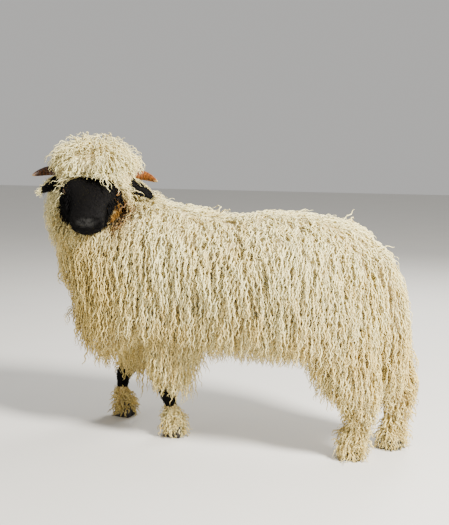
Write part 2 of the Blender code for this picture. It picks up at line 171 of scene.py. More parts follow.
def sweep(path, across, wide, over, under, square=2.0, count=24):
    # rings square to the path: a superellipse |cos|^(2/n), |sin|^(2/n) with its own height above and below
    tangent = unit(np.gradient(path, axis=0))
    across = np.broadcast_to(np.asarray(across, float), path.shape)
    across = unit(across - dot(across, tangent)[:, None] * tangent)
    above = np.cross(across, tangent)
    angle = np.arange(count) * 2 * math.pi / count
    side = wide[:, None] * np.sign(np.cos(angle)) * np.abs(np.cos(angle)) ** (2 / square)
    rise = np.sign(np.sin(angle)) * np.abs(np.sin(angle)) ** (2 / square)
    rise = np.where(rise > 0, over[:, None], under[:, None]) * rise
    return path[:, None] + side[..., None] * across[:, None] + rise[..., None] * above[:, None]


def objectOf(name, mesh):
    obj = bpy.data.objects.new(name, mesh)
    bpy.context.scene.collection.objects.link(obj)
    return obj


def finished(obj):
    # the mesh as the modifiers leave it; the working object goes
    bpy.context.view_layer.update()
    graph = bpy.context.evaluated_depsgraph_get()
    mesh = bpy.data.meshes.new_from_object(obj.evaluated_get(graph))
    bpy.data.objects.remove(obj)
    return mesh


def coordsOf(mesh, what="co", of="vertices"):
    items = getattr(mesh, of)
    out = np.zeros(len(items) * 3, np.float32)
    items.foreach_get(what, out)
    return out.reshape(-1, 3).astype(float)


def cornersOf(mesh):
    corners = np.zeros(len(mesh.loops), np.int32)
    mesh.loops.foreach_get("vertex_index", corners)
    return corners


def register(piece, replaced, slotName):
    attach(piece, "root")
    if replaced:
        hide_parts(*replaced)


def number(mesh, name, values):
    fill(mesh.attributes.new(name, "FLOAT", "POINT").data, "value", values)


def middleOf(node):
    low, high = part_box(node)
    return np.array((low + high) / 2)


# the head's own axes, found from the eyes: the poll is where the neck meets the skull
headCut = dict(length=0.268, pitch=26.5, eyeShare=0.36, eyeOut=0.022)
eyeAt = {side: middleOf("eye_" + side) for side in signOf}
headRight = unit(eyeAt["right"] - eyeAt["left"])
headFacing = unit(np.cross(up, headRight))
headCrown = np.cross(headRight, headFacing)
headPitch = math.radians(headCut["pitch"])
headAlong = headFacing * math.cos(headPitch) - headCrown * math.sin(headPitch)
headBrow = np.cross(headRight, headAlong)
poll = (eyeAt["left"] + eyeAt["right"]) / 2 - headAlong * headCut["eyeShare"] * headCut["length"]
poll = poll - headBrow * headCut["eyeOut"]


def headPoint(along, right, out):
    return (poll + np.multiply.outer(along, headAlong) + np.multiply.outer(right, headRight)
            + np.multiply.outer(out, headBrow))


def levelPoint(forward, right, rise):
    return (poll + np.multiply.outer(forward, headFacing) + np.multiply.outer(right, headRight)
            + np.multiply.outer(rise, headCrown))


def inHead(points):
    # share of the head's length, metres to the right, metres out of the brow
    away = points - poll
    return away @ headAlong / headCut["length"], away @ headRight, away @ headBrow


def inLevel(points):
    # metres forward of the poll, to the right, and up through the crown
    away = points - poll
    return away @ headFacing, away @ headRight, away @ headCrown


footAt = {foot: middleOf("hoof_" + foot) for foot in ("front_left", "front_right", "hind_left", "hind_right")}
fleshNodes = ["head", "face", "neck", "trunk", "tail", "ear_left", "ear_right"]
fleshNodes += [part + foot for foot in footAt for part in ("leg_", "shank_")]


skinCut = dict(voxel=0.0085, grow=0.0012, soften=14, chestSoften=110, drawSteps=5)
depthCut = dict(body=0.030, neck=0.034, head=0.031, tail=0.026)  # from the coat's tips to the skin
bellyCut = dict(brisket=0.335, belly=0.388, rise=0.06, length=0.8, half=0.4, floor=-0.2)
# balls that fill in the skull: forward and up from the poll, then the radii across, forward and up
skullEggs = ((-0.015, 0.022, (0.168, 0.108, 0.128)), (0.046, 0.074, (0.124, 0.080, 0.062)),
             (-0.045, -0.060, (0.168, 0.106, 0.136)), (0.030, -0.050, (0.120, 0.090, 0.090)))


def swollen(node):
    # a solid of the CAD, its vertices merged and moved out along the normals that its faces add up to
    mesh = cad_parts[node].data
    spots, back = np.unique(np.round(coordsOf(mesh), 6), axis=0, return_inverse=True)
    corners = back.ravel()[cornersOf(mesh)].reshape(-1, 3)
    a, b, c = [spots[corners[:, k]] for k in range(3)]
    normal = np.zeros_like(spots)
    for k in range(3):
        np.add.at(normal, corners[:, k], np.cross(b - a, c - a))
    return spots + unit(normal) * skinCut["grow"], noQuads, corners


def envelope():
    # the CAD's soft solids a little swollen, so that the thin cuts close, with the skull filled in
    shells = [swollen(node) for node in fleshNodes if not node.startswith(("face", "ear", "shank"))]
    shells += [egg(levelPoint(forward, 0, rise), radii) for forward, rise, radii in skullEggs]
    return worked(shellsIn("envelope", shells)[0], skinCut["voxel"])


def egg(centre, radii, rows=24, cols=36):
    # a ball with three radii: to the head's right, forward and up
    a = np.linspace(0.02, 0.98, rows)[:, None] * math.pi
    b = np.linspace(0, 2 * math.pi, cols, endpoint=False)
    ring = np.sin(a) * np.cos(b), np.sin(a) * np.sin(b), np.cos(a) * np.ones(cols)
    axes = (headRight, headFacing, headCrown)
    return shellFaces(centre + sum(r[..., None] * size * axis for r, size, axis in zip(ring, radii, axes)))


def worked(mesh, voxel=0.0, rounds=0):
    # the mesh made again from voxels, then softened, each where it is asked for
    obj = objectOf("working", mesh)
    if voxel:
        remesh = obj.modifiers.new("Remesh", "REMESH")
        remesh.mode, remesh.voxel_size = "VOXEL", voxel
    if rounds:
        smooth = obj.modifiers.new("Soften", "SMOOTH")
        smooth.factor, smooth.iterations = 0.5, rounds
    return finished(obj)


def coatDepth(points):
    # how far the skin lies inside the coat: eased from one part of the body to the next
    x, y, z = points.T
    depth = np.full(len(points), depthCut["body"])
    front = ease((-0.28 - x) / 0.08) * ease((z - 0.60) / 0.12)
    depth += (depthCut["neck"] - depth) * front
    away = np.linalg.norm((points - levelPoint(0.0, 0.0, 0.03)) * [1, 1, 0.9], axis=1)
    depth += (depthCut["head"] - depth) * ease((0.24 - away) / 0.05)
    behind = ease((x - 0.56) / 0.03) * ease((z - 0.2) / 0.05)
    depth += (depthCut["tail"] - depth) * behind * ease((0.07 - abs(y)) / 0.02)
    return depth


def belly(x, y):
    # underline of the skin: low at the brisket, higher behind it, and rounded up towards the flanks
    low = bellyCut["brisket"] + (bellyCut["belly"] - bellyCut["brisket"]) * ease((x + 0.43) / 0.15)
    return low + bellyCut["rise"] * (np.abs(y) / 0.2) ** 2.5


def bellyBlock():
    # everything below the underline, as one block with that surface on top
    length, half = bellyCut["length"], bellyCut["half"]
    x, y = np.meshgrid(np.linspace(-length, length, 60), np.linspace(-half, half, 40), indexing="ij")
    rows, cols = x.shape
    points = np.vstack([np.stack([x, y, z], -1).reshape(-1, 3)
                        for z in (belly(x, y), np.full(x.shape, bellyCut["floor"]))])
    i, j = np.meshgrid(np.arange(rows - 1), np.arange(cols - 1), indexing="ij")
    corner = i * cols + j
    sheet = np.stack([corner, corner + cols, corner + cols + 1, corner + 1], -1).reshape(-1, 4)
    rim = np.concatenate([np.arange(cols), np.arange(1, rows) * cols + cols - 1,
                          (rows - 1) * cols + np.arange(cols - 2, -1, -1), np.arange(rows - 2, 0, -1) * cols])
    after = np.roll(rim, -1)
    wall = np.stack([rim, after, after + rows * cols, rim + rows * cols], -1)
    quads = np.vstack([sheet, sheet[:, ::-1] + rows * cols, wall])
    return meshFrom("block", points, *outward(points, quads, noTriangles))


# legs under the wool: forward of the hoof, outward of it, height, half width, half length fore and aft
legRows = {
    "front": ((-0.010, 0.020, 0.480, 0.062, 0.095), (-0.005, 0.035, 0.360, 0.056, 0.080),
              (0.000, 0.040, 0.270, 0.044, 0.055), (0.006, 0.028, 0.200, 0.030, 0.036),
              (0.017, 0.014, 0.158, 0.0275, 0.0290), (0.012, 0.006, 0.128, 0.0215, 0.0225),
              (0.003, 0.000, 0.090, 0.0170, 0.0195), (0.000, 0.000, 0.055, 0.0215, 0.0245),
              (-0.004, 0.000, 0.030, 0.0215, 0.0270)),
    "hind": ((0.070, 0.010, 0.520, 0.075, 0.125), (0.048, 0.022, 0.400, 0.066, 0.100),
             (0.002, 0.022, 0.300, 0.052, 0.078), (-0.022, 0.014, 0.220, 0.038, 0.054),
             (-0.030, 0.008, 0.170, 0.0290, 0.0400), (-0.020, 0.003, 0.125, 0.0220, 0.0290),
             (-0.004, 0.000, 0.085, 0.0185, 0.0205), (0.000, 0.000, 0.055, 0.0225, 0.0245),
             (-0.004, 0.000, 0.030, 0.0215, 0.0270)),
}
# how far forward a leg leans for each metre above 0.1
legLean = dict(front_left=0.0, front_right=-0.24, hind_left=0.0, hind_right=0.13)


def legMesh(foot):
    rows = through(legRows[foot.split("_")[0]], 8)
    side = np.sign(footAt[foot][1])
    forward = rows[:, 0] + legLean[foot] * np.maximum(rows[:, 2] - 0.1, 0)
    path = np.stack([footAt[foot][0] - forward, footAt[foot][1] + side * rows[:, 1], rows[:, 2]], -1)
    return gridShell("leg", sweep(path, (0, 1, 0), rows[:, 3], rows[:, 4], rows[:, 4], count=28))


def tailMesh():
    # hangs inside the fleece: place along the body, height and radius, from root to tip
    low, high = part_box("tail")
    rows = through(((high[0] - 0.10, high[2] - 0.03, 0.030), (high[0] - 0.052, 0.50, 0.028),
                    (high[0] - 0.046, 0.38, 0.026), (high[0] - 0.046, low[2] + 0.075, 0.014)), 8)
    path = np.stack([rows[:, 0], np.zeros(len(rows)), rows[:, 1]], -1)
    return gridShell("tail", sweep(path, (0, 1, 0), rows[:, 2], rows[:, 2], rows[:, 2], count=24))


def boolean(base, part, operation):
    obj, other = objectOf("working", base), objectOf("added", part)
    join = obj.modifiers.new("Join", "BOOLEAN")
    join.operation, join.solver, join.object = operation, "MANIFOLD", other
    mesh = finished(obj)
    bpy.data.objects.remove(other)
    return mesh


def bodySkin():
    # the envelope drawn in by the coat's depth, cut off at the underline, with legs and tail added
    mesh = worked(envelope(), rounds=skinCut["soften"])
    evened = worked(mesh.copy(), rounds=skinCut["chestSoften"])  # the chest's steps melt into one slope
    points = coordsOf(mesh)
    chest = (ease((-0.36 - points[:, 0]) / 0.10) * ease((0.80 - points[:, 2]) / 0.10))[:, None]
    points = points * (1 - chest) + coordsOf(evened) * chest
    fill(mesh.vertices, "co", points)
    step = coatDepth(points)[:, None] / skinCut["drawSteps"]
    for _ in range(skinCut["drawSteps"]):
        fill(mesh.vertices, "co", coordsOf(mesh) - coordsOf(mesh, "vector", "vertex_normals") * step)
        mesh = worked(mesh, rounds=2)
    mesh = boolean(worked(mesh, skinCut["voxel"], 2), bellyBlock(), "DIFFERENCE")
    for part in [legMesh(foot) for foot in footAt] + [tailMesh()]:
        mesh = boolean(mesh, part, "UNION")
    return worked(mesh, skinCut["voxel"], 3)


# Face: share of the head's length, half width, above the line of the face, below it
faceRows = ((0.06, 0.094, 0.052, 0.088), (0.26, 0.101, 0.058, 0.096), (0.40, 0.093, 0.057, 0.093),
            (0.54, 0.077, 0.053, 0.082), (0.68, 0.063, 0.048, 0.066), (0.81, 0.057, 0.043, 0.056),
            (0.92, 0.053, 0.036, 0.050))
faceCut = dict(inset=0.0015, around=168, square=2.35, roundRows=40, perSpan=18)
eyeCut = dict(radius=0.0140, halfLong=0.0148, halfHigh=0.0102, upper=0.92, lower=0.80, lid=0.0030,
              section=(0.62, 1.15), turnOut=34.0, socket=0.013, fold=0.0022)


def eyeAxes(side):
    # out of the eye, along the slit towards the nose, and across it
    turn = math.radians(eyeCut["turnOut"])
    out = unit(headRight * signOf[side] * math.cos(turn) + headFacing * math.sin(turn) + headCrown * 0.10)
    slit = unit(headAlong - dot(headAlong, out) * out)
    return out, slit, unit(np.cross(out, slit) * signOf[side])


faceBumps = (  # height, then share along the face, metres aside and out of the brow, and three half sizes
    (0.009, 0.325, 0.070, 0.044, 0.030, 0.026, 0.014),  # brow
    (0.005, 0.26, 0.085, -0.045, 0.045, 0.040, 0.040),  # cheek
    (0.004, 0.74, 0.000, 0.046, 0.070, 0.024, 0.030),  # bridge of the nose
    (0.0035, 0.50, 0.066, 0.006, 0.060, 0.020, 0.012),  # cheek bone below the eye
    (-0.0040, 0.62, 0.060, -0.012, 0.040, 0.020, 0.016),  # hollow in front of it
    (0.0075, 0.93, 0.036, 0.006, 0.020, 0.016, 0.016),  # wing of the nostril
    (0.0040, 0.90, 0.034, -0.022, 0.030, 0.024, 0.012),  # upper lip
    (-0.0165, 0.985, 0.021, 0.012, 0.016, 0.0085, 0.0070),  # nostril
    (-0.0100, 0.965, 0.030, 0.018, 0.012, 0.0070, 0.0050),  # its outer tail
    (-0.0060, 1.00, 0.000, -0.006, 0.030, 0.0034, 0.018),  # cleft of the lip
    (0.0030, 0.94, 0.000, -0.040, 0.030, 0.030, 0.012),  # chin
)
mouthCut = dict(line=-0.020, slope=0.10, start=0.70, depth=0.0085, half=0.0036, lip=0.008, lipHeight=0.0030,
                lipHalf=0.005, wrinkles=(0.60, 0.66, 0.72, 0.78), wrinkleDepth=0.0010)


def faceRelief(points):
    # bumps and dents as bells round named places: exp of minus the squared distance over each half size
    along, right, out = inHead(points)

    def bell(share, aside, height, length, breadth, depth):
        far = ((along - share) * headCut["length"] / length) ** 2
        return np.exp(-far - ((np.abs(right) - aside) / breadth) ** 2 - ((out - height) / depth) ** 2)

    relief = sum(amount * bell(*spot) for amount, *spot in faceBumps)
    mouth = mouthCut["line"] - mouthCut["slope"] * np.clip(0.98 - along, 0, 1) * headCut["length"]
    closing = ease((along - mouthCut["start"]) / 0.08)
    relief -= mouthCut["depth"] * np.exp(-((out - mouth) / mouthCut["half"]) ** 2) * closing
    for lip in (mouthCut["lip"], -mouthCut["lip"]):
        relief += mouthCut["lipHeight"] * np.exp(-((out - mouth - lip) / mouthCut["lipHalf"]) ** 2) * closing
    for fold, share in enumerate(mouthCut["wrinkles"]):  # at the corner of the mouth
        relief -= mouthCut["wrinkleDepth"] * bell(share, 0.056, -0.030 - 0.004 * fold, 0.0035, 0.014, 0.020)
    return relief


def eyeDent(points):
    # the socket: the surface is drawn in towards the eyeball's middle inside an almond round each eye
    dent = np.zeros(len(points))
    for side in signOf:
        out, slit, rise = eyeAxes(side)
        away = points - eyeAt[side]
        front = dot(away, out) > 0
        far = np.hypot(dot(away, slit) / eyeCut["halfLong"], dot(away, rise) / eyeCut["halfHigh"])
        dent += eyeCut["socket"] * ease((1.35 - far) / 0.5) * front
        dent -= eyeCut["fold"] * (np.exp(-((far - 1.75) / 0.30) ** 2) * front)  # the skin round the lids
    return dent


def faceMesh():
    # a tube of superellipses along the line of the face, rounded off at the lips, with the relief added
    rows = through(faceRows, faceCut["perSpan"])
    nose = np.sin(np.linspace(0, 0.5, faceCut["roundRows"] + 1)[1:, None] * math.pi)
    roundOff = np.sqrt(1 - (0.985 * nose) ** 2) ** 0.8
    tip = np.hstack([rows[-1, 0] + (1 - rows[-1, 0]) * nose, rows[-1, 1:] * roundOff])
    rows = np.vstack([rows, tip])
    path = headPoint(rows[:, 0] * headCut["length"], 0, 0)
    rings = sweep(path, headRight, *rows.T[1:], square=faceCut["square"], count=faceCut["around"])
    flat = rings.reshape(-1, 3)
    outwards = unit(rings - path[:, None]).reshape(-1, 3)
    flat = flat + outwards * (faceRelief(flat) - faceCut["inset"] - eyeDent(flat))[:, None]
    return gridShell("face", flat.reshape(rings.shape))


def lidMesh(side):
    # a rim swept round the almond: its middle runs over the eyeball, its section is a small ellipse
    out, slit, rise = eyeAxes(side)
    angle = np.linspace(0, 2 * math.pi, 64, endpoint=False)
    long = eyeCut["halfLong"] * np.cos(angle)
    high = eyeCut["halfHigh"] * np.sign(np.sin(angle)) * np.abs(np.sin(angle)) ** 1.25
    high = np.where(high > 0, high * eyeCut["upper"], high * eyeCut["lower"])
    reach = eyeCut["radius"] + 0.0004
    deep = np.sqrt(np.maximum(reach**2 - long**2 - high**2, (0.25 * reach) ** 2))
    path = eyeAt[side] + long[:, None] * slit + high[:, None] * rise + deep[:, None] * out
    tangent = unit(np.roll(path, -1, 0) - np.roll(path, 1, 0))
    outer = unit(path - eyeAt[side])
    aside = np.cross(tangent, outer)
    turn = np.linspace(0, 2 * math.pi, 14, endpoint=False)
    thick = eyeCut["lid"] * (1 + 0.35 * (high > 0))[:, None, None]
    tall, broad = eyeCut["section"]
    ring = path[:, None] + thick * (tall * np.cos(turn)[None, :, None] * outer[:, None]
                                    + broad * np.sin(turn)[None, :, None] * aside[:, None])
    return torusShell("lid", ring)


earCut = dict(length=dict(left=0.150, right=0.124), droop=dict(left=19.0, right=22.0), halfWidth=0.0245,
              root=0.070, rise=0.030, bend=0.022, forward=0.006, turn=0.020, thick=0.0030, edge=0.0010,
              cup=0.010)


def earMesh(side):
    # a leaf: wide as sin(pi (0.16 + 0.84 t))^0.65 and cupped towards the front
    t = np.linspace(0, 1, 56)
    droop = math.radians(earCut["droop"][side])
    reach = earCut["length"][side] * t
    aside = signOf[side] * (earCut["root"] + reach * math.cos(droop))
    fall = earCut["rise"] - reach * math.sin(droop) - earCut["bend"] * t**2
    path = levelPoint(earCut["forward"] + earCut["turn"] * t, aside, fall)
    leaf = np.sin(math.pi * (0.16 + 0.84 * t)) ** 0.65
    wide = earCut["halfWidth"] * leaf + 0.0012
    thick = earCut["thick"] * leaf + earCut["edge"]
    broad = unit(headFacing * 0.5 - headCrown * 0.8)
    rings = sweep(path, broad, wide, thick, thick, count=40)
    across = dot(rings - path[:, None], broad) / wide[:, None]
    cup = earCut["cup"] * (across**2 - 0.35) * leaf[:, None]
    return gridShell("ear", rings + cup[..., None] * headFacing)


def skinMesh():
    mesh = bodySkin()
    print("body skin:", len(mesh.polygons), "faces")
    for part in [faceMesh()] + [made(side) for made in (earMesh, lidMesh) for side in signOf]:
        mesh = boolean(mesh, part, "UNION")
    return mesh


def keysOf(points):
    # one whole number for each place, in steps of 0.05 mm, to find the same vertex again in another mesh
    grid = np.round(points * 20000).astype(np.int64) + 100000
    return (grid[:, 0] * 1000003 + grid[:, 1]) * 1000003 + grid[:, 2]


def grain(points, size, seed):
    # soft noise, mostly between -1 and 1: five sine waves in directions drawn from the seed
    rng = np.random.default_rng(seed)
    total = np.zeros(len(points))
    for _ in range(5):
        direction = unit(rng.normal(size=3)) * 2 * math.pi / (size * rng.uniform(0.6, 1.6))
        total += np.sin(points @ direction + rng.uniform(0, 2 * math.pi))
    return total / 3.2


markCut = dict(hairline=0.17, cheekLine=0.09, throatLine=0.12, edge=0.06, kneeHeight=0.150, kneeTall=0.042,
               peak=0.10, parting=0.028)


def earEdge(points):
    # the upper edge and the tip of an ear, where its hair is cream
    _, right, rise = inLevel(points)
    length, droop = [np.where(right > 0, earCut[what]["right"], earCut[what]["left"])
                     for what in ("length", "droop")]
    t = (np.abs(right) - earCut["root"]) / (length * np.cos(np.radians(droop)))
    middle = earCut["rise"] - length * t * np.sin(np.radians(droop)) - earCut["bend"] * t**2
    upper = ease((rise - middle - 0.013) / 0.005) * ease((t - 0.30) / 0.2)
    return np.maximum(upper, ease((t - 0.88) / 0.06))


def faceShare(points):
    # 1 on the black face and 0 in the wool: past a hairline that runs further down cheeks and throat
    along, right, out = inHead(points)
    inside = np.hypot(right / 0.125, (out + 0.015) / 0.125) < 1
    line = markCut["hairline"] + markCut["cheekLine"] * (np.abs(right) / 0.1) ** 2
    line = line + markCut["throatLine"] * ease(-(out + 0.02) / 0.07) + 0.02 * grain(points, 0.03, 3)
    line = line - markCut["peak"] * np.exp(-((right - markCut["parting"]) / 0.020) ** 2)
    return ease((along - line) / markCut["edge"]) * inside


def nearEars(points):
    # a soft box round the root of each ear, where the wool is kept short
    forward, aside, rise = inLevel(points)
    box = ((np.abs(aside) - 0.115) / 0.050) ** 4 + ((forward - 0.005) / 0.052) ** 4
    return np.exp(-(box + ((rise + 0.004) / 0.042) ** 4))


def nearCrown(points):
    # the whorl on top of the head, where the locks cross each other
    forward, aside, rise = inLevel(points)
    return np.exp(-((forward + 0.035) ** 2 + aside**2) / 0.055**2) * (rise > 0)


def cheekShare(points):
    # black that runs on from the face over the right cheek and the jaw under it
    along, right, out = inHead(points)
    far = ((along - 0.36) / 0.32) ** 2 + ((right - 0.088) / 0.040) ** 2 + ((out + 0.030) / 0.075) ** 2
    return ease((1.25 - far + 0.3 * grain(points, 0.02, 4)) / 0.5)


def browned(points):
    # the left side of the face behind the mouth, where the black turns to brown and then to wool
    along, right, out = inHead(points)
    far = ((along - 0.52) / 0.16) ** 2 + ((right + 0.097) / 0.033) ** 2 + ((out + 0.040) / 0.055) ** 2
    return ease((1.3 - far + 0.35 * grain(points, 0.018, 6)) / 0.7)


def darkShare(points, marks):
    # black of face, ears, lids, right cheek and front knees
    face = faceShare(points) * marks["face"] * (1 - browned(points))
    dark = np.maximum.reduce([face, marks["ear"], marks["lid"], cheekShare(points)])
    for foot in ("front_left", "front_right"):
        away = points - footAt[foot]
        tall = (points[:, 2] - markCut["kneeHeight"]) / markCut["kneeTall"]
        knee = ease((1.15 + 0.25 * grain(points, 0.02, 5) - np.abs(tall)) / 0.4)
        dark = np.maximum(dark, knee * (np.hypot(away[:, 0], away[:, 1]) < 0.10))
    return dark


def stainShare(points):
    # brown of the wool at the left cheek
    along, right, out = inHead(points)
    far = ((along - 0.47) / 0.27) ** 2 + ((right + 0.083) / 0.044) ** 2 + ((out + 0.036) / 0.046) ** 2
    return np.clip(3.0 * np.exp(-far), 0, 1)


def combAt(points, normals, ear):
    # lie of the coat along the skin: down and back from the spine, out from the crown, along each ear
    y = points[:, 1]
    rise = np.clip(normals[:, 2], 0, 1)[:, None]
    side = np.stack([0 * y, np.tanh(y / 0.09), 0 * y], -1)
    back = np.array([1.0, 0, 0])
    flow = -up + side * (0.25 + 1.1 * rise) + back * (0.22 + 0.75 * rise**2)
    crown = (points - levelPoint(-0.035, 0, 0.15)) * [1, 1, 0]
    crown = crown / (np.linalg.norm(crown, axis=1, keepdims=True) + 0.02)
    radial = -up + crown * (0.25 + 1.2 * rise)
    along, right, _ = inHead(points)
    aside = (right - markCut["parting"]) / 0.02
    parting = np.tanh(aside) * ease((along + 0.02) / 0.10) * np.exp(-(aside / 2.5) ** 2)
    radial = radial + 0.55 * parting[:, None] * headRight
    away = np.linalg.norm(points - levelPoint(0, 0, 0.04), axis=1)
    onHead = ease((0.25 - away) / 0.07)[:, None]
    flow = flow * (1 - onHead) + radial * onHead
    stray = np.stack([grain(points, 0.09, 11 + k) for k in range(3)], -1)
    flow = flow + 0.22 * stray
    outer = headRight * np.sign(right)[:, None] - headCrown * math.tan(math.radians(earCut["droop"]["left"]))
    flow = flow * (1 - ear[:, None]) + outer * ear[:, None]
    return unit(flow - dot(flow, normals)[:, None] * normals)


def wrapSkin():
    # the skin as arrays: places, normals, triangles, their unwrap, and the shares of each region
    obj = objectOf("skin", skinMesh())
    obj.modifiers.new("Thirds", "TRIANGULATE")
    mesh = finished(obj)
    obj = objectOf("skin", mesh)
    mesh.uv_layers.new(name="OFBake")
    bpy.context.view_layer.objects.active = obj
    obj.select_set(True)
    bpy.ops.object.mode_set(mode="EDIT")
    bpy.ops.mesh.select_all(action="SELECT")
    bpy.ops.uv.smart_project(angle_limit=math.radians(72), island_margin=0.001)
    bpy.ops.object.mode_set(mode="OBJECT")
    points, normals = coordsOf(mesh), coordsOf(mesh, "vector", "vertex_normals")
    uv = np.zeros(len(mesh.loops) * 2, np.float32)
    mesh.uv_layers["OFBake"].uv.foreach_get("vector", uv)
    marks = {}
    for name, made in (("face", [faceMesh()]), ("ear", map(earMesh, signOf)), ("lid", map(lidMesh, signOf))):
        keys = np.concatenate([keysOf(coordsOf(part)) for part in made])
        marks[name] = np.isin(keysOf(points), keys).astype(float)
    dark, faceHair = darkShare(points, marks), marks["face"] * faceShare(points)
    number(mesh, "dark", dark)
    number(mesh, "stain", stainShare(points))
    number(mesh, "short", np.maximum.reduce([faceHair, marks["ear"], marks["lid"]]))
    along, right, out = inHead(points)
    pad = ease(1.5 - np.hypot(right / 0.028, (out - 0.006) / 0.017))  # the moist skin of the nose
    number(mesh, "bare", ease((along - 0.93) / 0.05) * pad * marks["face"])
    return dict(obj=obj, points=points, normals=normals, triangles=cornersOf(mesh).reshape(-1, 3),
                uv=uv.reshape(-1, 3, 2), dark=dark, marks=marks, faceShare=faceHair,
                comb=combAt(points, normals, marks["ear"]))


def nearGrid(points, cell=0.012, pad=0.13, rounds=11):
    # for every cell of a grid the nearest skin vertex, handed on from neighbour to neighbour
    low = points.min(0) - pad
    shape = np.ceil((points.max(0) + pad - low) / cell).astype(int)
    nearest = np.full(shape, -1, np.int32)
    nearest[tuple(((points - low) / cell).astype(int).T)] = np.arange(len(points))
    spot = points.astype(np.float32)
    centre = (np.moveaxis(np.indices(shape), 0, -1).astype(np.float32) + 0.5) * cell + low.astype(np.float32)
    far = np.where(nearest >= 0, ((centre - spot[nearest]) ** 2).sum(-1), np.float32(9))
    for _ in range(rounds):
        for axis in range(3):
            for step in (1, -1):
                given = np.roll(nearest, step, axis)
                away = np.where(given >= 0, ((centre - spot[given]) ** 2).sum(-1), np.float32(9))
                closer = away < far
                nearest = np.where(closer, given, nearest)
                far = np.where(closer, away, far)
    return dict(low=low, cell=cell, nearest=nearest)


def nearestTo(grid, points):
    cells = ((points - grid["low"]) / grid["cell"]).astype(int)
    cells = np.clip(cells, 0, np.array(grid["nearest"].shape) - 1)
    return grid["nearest"][tuple(cells.T)]


def rootsOn(skin, weight, count, rng):
    # triangles taken at even steps of area times weight, with a random place inside each
    a, b, c = [skin["points"][skin["triangles"][:, k]] for k in range(3)]
    area = np.linalg.norm(np.cross(b - a, c - a), axis=1) / 2
    share = np.cumsum(area * weight[skin["triangles"]].mean(1))
    pick = np.searchsorted(share, (np.arange(count) + rng.random(count)) / count * share[-1])
    pick = np.minimum(pick, len(area) - 1)
    mix = np.sqrt(rng.random(count))
    other = rng.random(count)
    parts = np.stack([1 - mix, mix * (1 - other), mix * other], -1)
    corners = skin["triangles"][pick]

    def blend(values):
        return (values[corners] * parts.reshape(parts.shape + (1,) * (values.ndim - 1))).sum(1)

    return dict(points=blend(skin["points"]), normals=unit(blend(skin["normals"])), dark=blend(skin["dark"]),
                uv=(skin["uv"][pick] * parts[..., None]).sum(1))


def lockPaths(skin, grid, roots, cut, rng):
    # each path walks along the lie of the coat, rises to its own height over the skin, and hangs at its end
    count, segments = len(roots["points"]), cut["segments"]
    length = cut["length"] * (1 + cut["spread"] * rng.uniform(-1, 1, count)) * cut["scale"]
    height = cut["height"] * rng.uniform(cut["layer"], 1, count) * cut["rise"]
    wild = cut["unrest"] * (1 + cut["wild"] * (rng.random(count) < 0.10))
    lean = rng.normal(size=(count, 3)) * (cut["stray"] * wild)[:, None]
    place = roots["points"] - roots["normals"] * cut["sunk"]
    path, outs = [place], [roots["normals"]]
    for step in range(segments):
        t = (step + 1) / segments
        near = nearestTo(grid, place)
        normal = skin["normals"][near]
        over = dot(place - skin["points"][near], normal)
        goal = height * ease(t / cut["reach"]) ** 0.7
        free = ease((0.10 - normal[:, 2]) / 0.35) * cut["free"] * (1 - cut["cling"])
        hang = np.clip(cut["hang"] * t + free, 0, 1)[:, None]
        flow = skin["comb"][near] * (1 - hang) - up * hang + lean
        pull = np.clip((goal - over) / (length / segments), -0.9 * (1 - free), 1.1)
        flow = flow + normal * (pull * cut["stick"])[:, None]
        place = place + unit(flow) * (length / segments)[:, None]
        path.append(place)
        outs.append(normal)
    path, outs = np.stack(path, 1), unit(np.stack(outs, 1))
    t = np.linspace(0, 1, segments + 1)
    tangent = unit(np.gradient(path, axis=1))
    side = unit(np.cross(tangent, outs))
    lift = np.cross(side, tangent)
    turns = 2 * math.pi * np.outer(length / (cut["waveLength"] * rng.uniform(0.8, 1.25, count)), t)
    turns += rng.uniform(0, 2 * math.pi, count)[:, None]
    grow = ease(t / 0.25) * (0.55 + cut["curl"] * t**2) * cut["wave"]
    size = rng.uniform(0.7, 1.3, count)[:, None] * grow
    path = path + side * (size * np.sin(turns))[..., None] + lift * (0.75 * size * np.cos(turns))[..., None]
    return path, lift, length


# how far past the CAD box a lock may go and how near the floor, its patch on the unwrap, a streak's length
lockEnds = dict(margin=0.012, floorGap=0.0008, patch=0.003, streak=0.05)


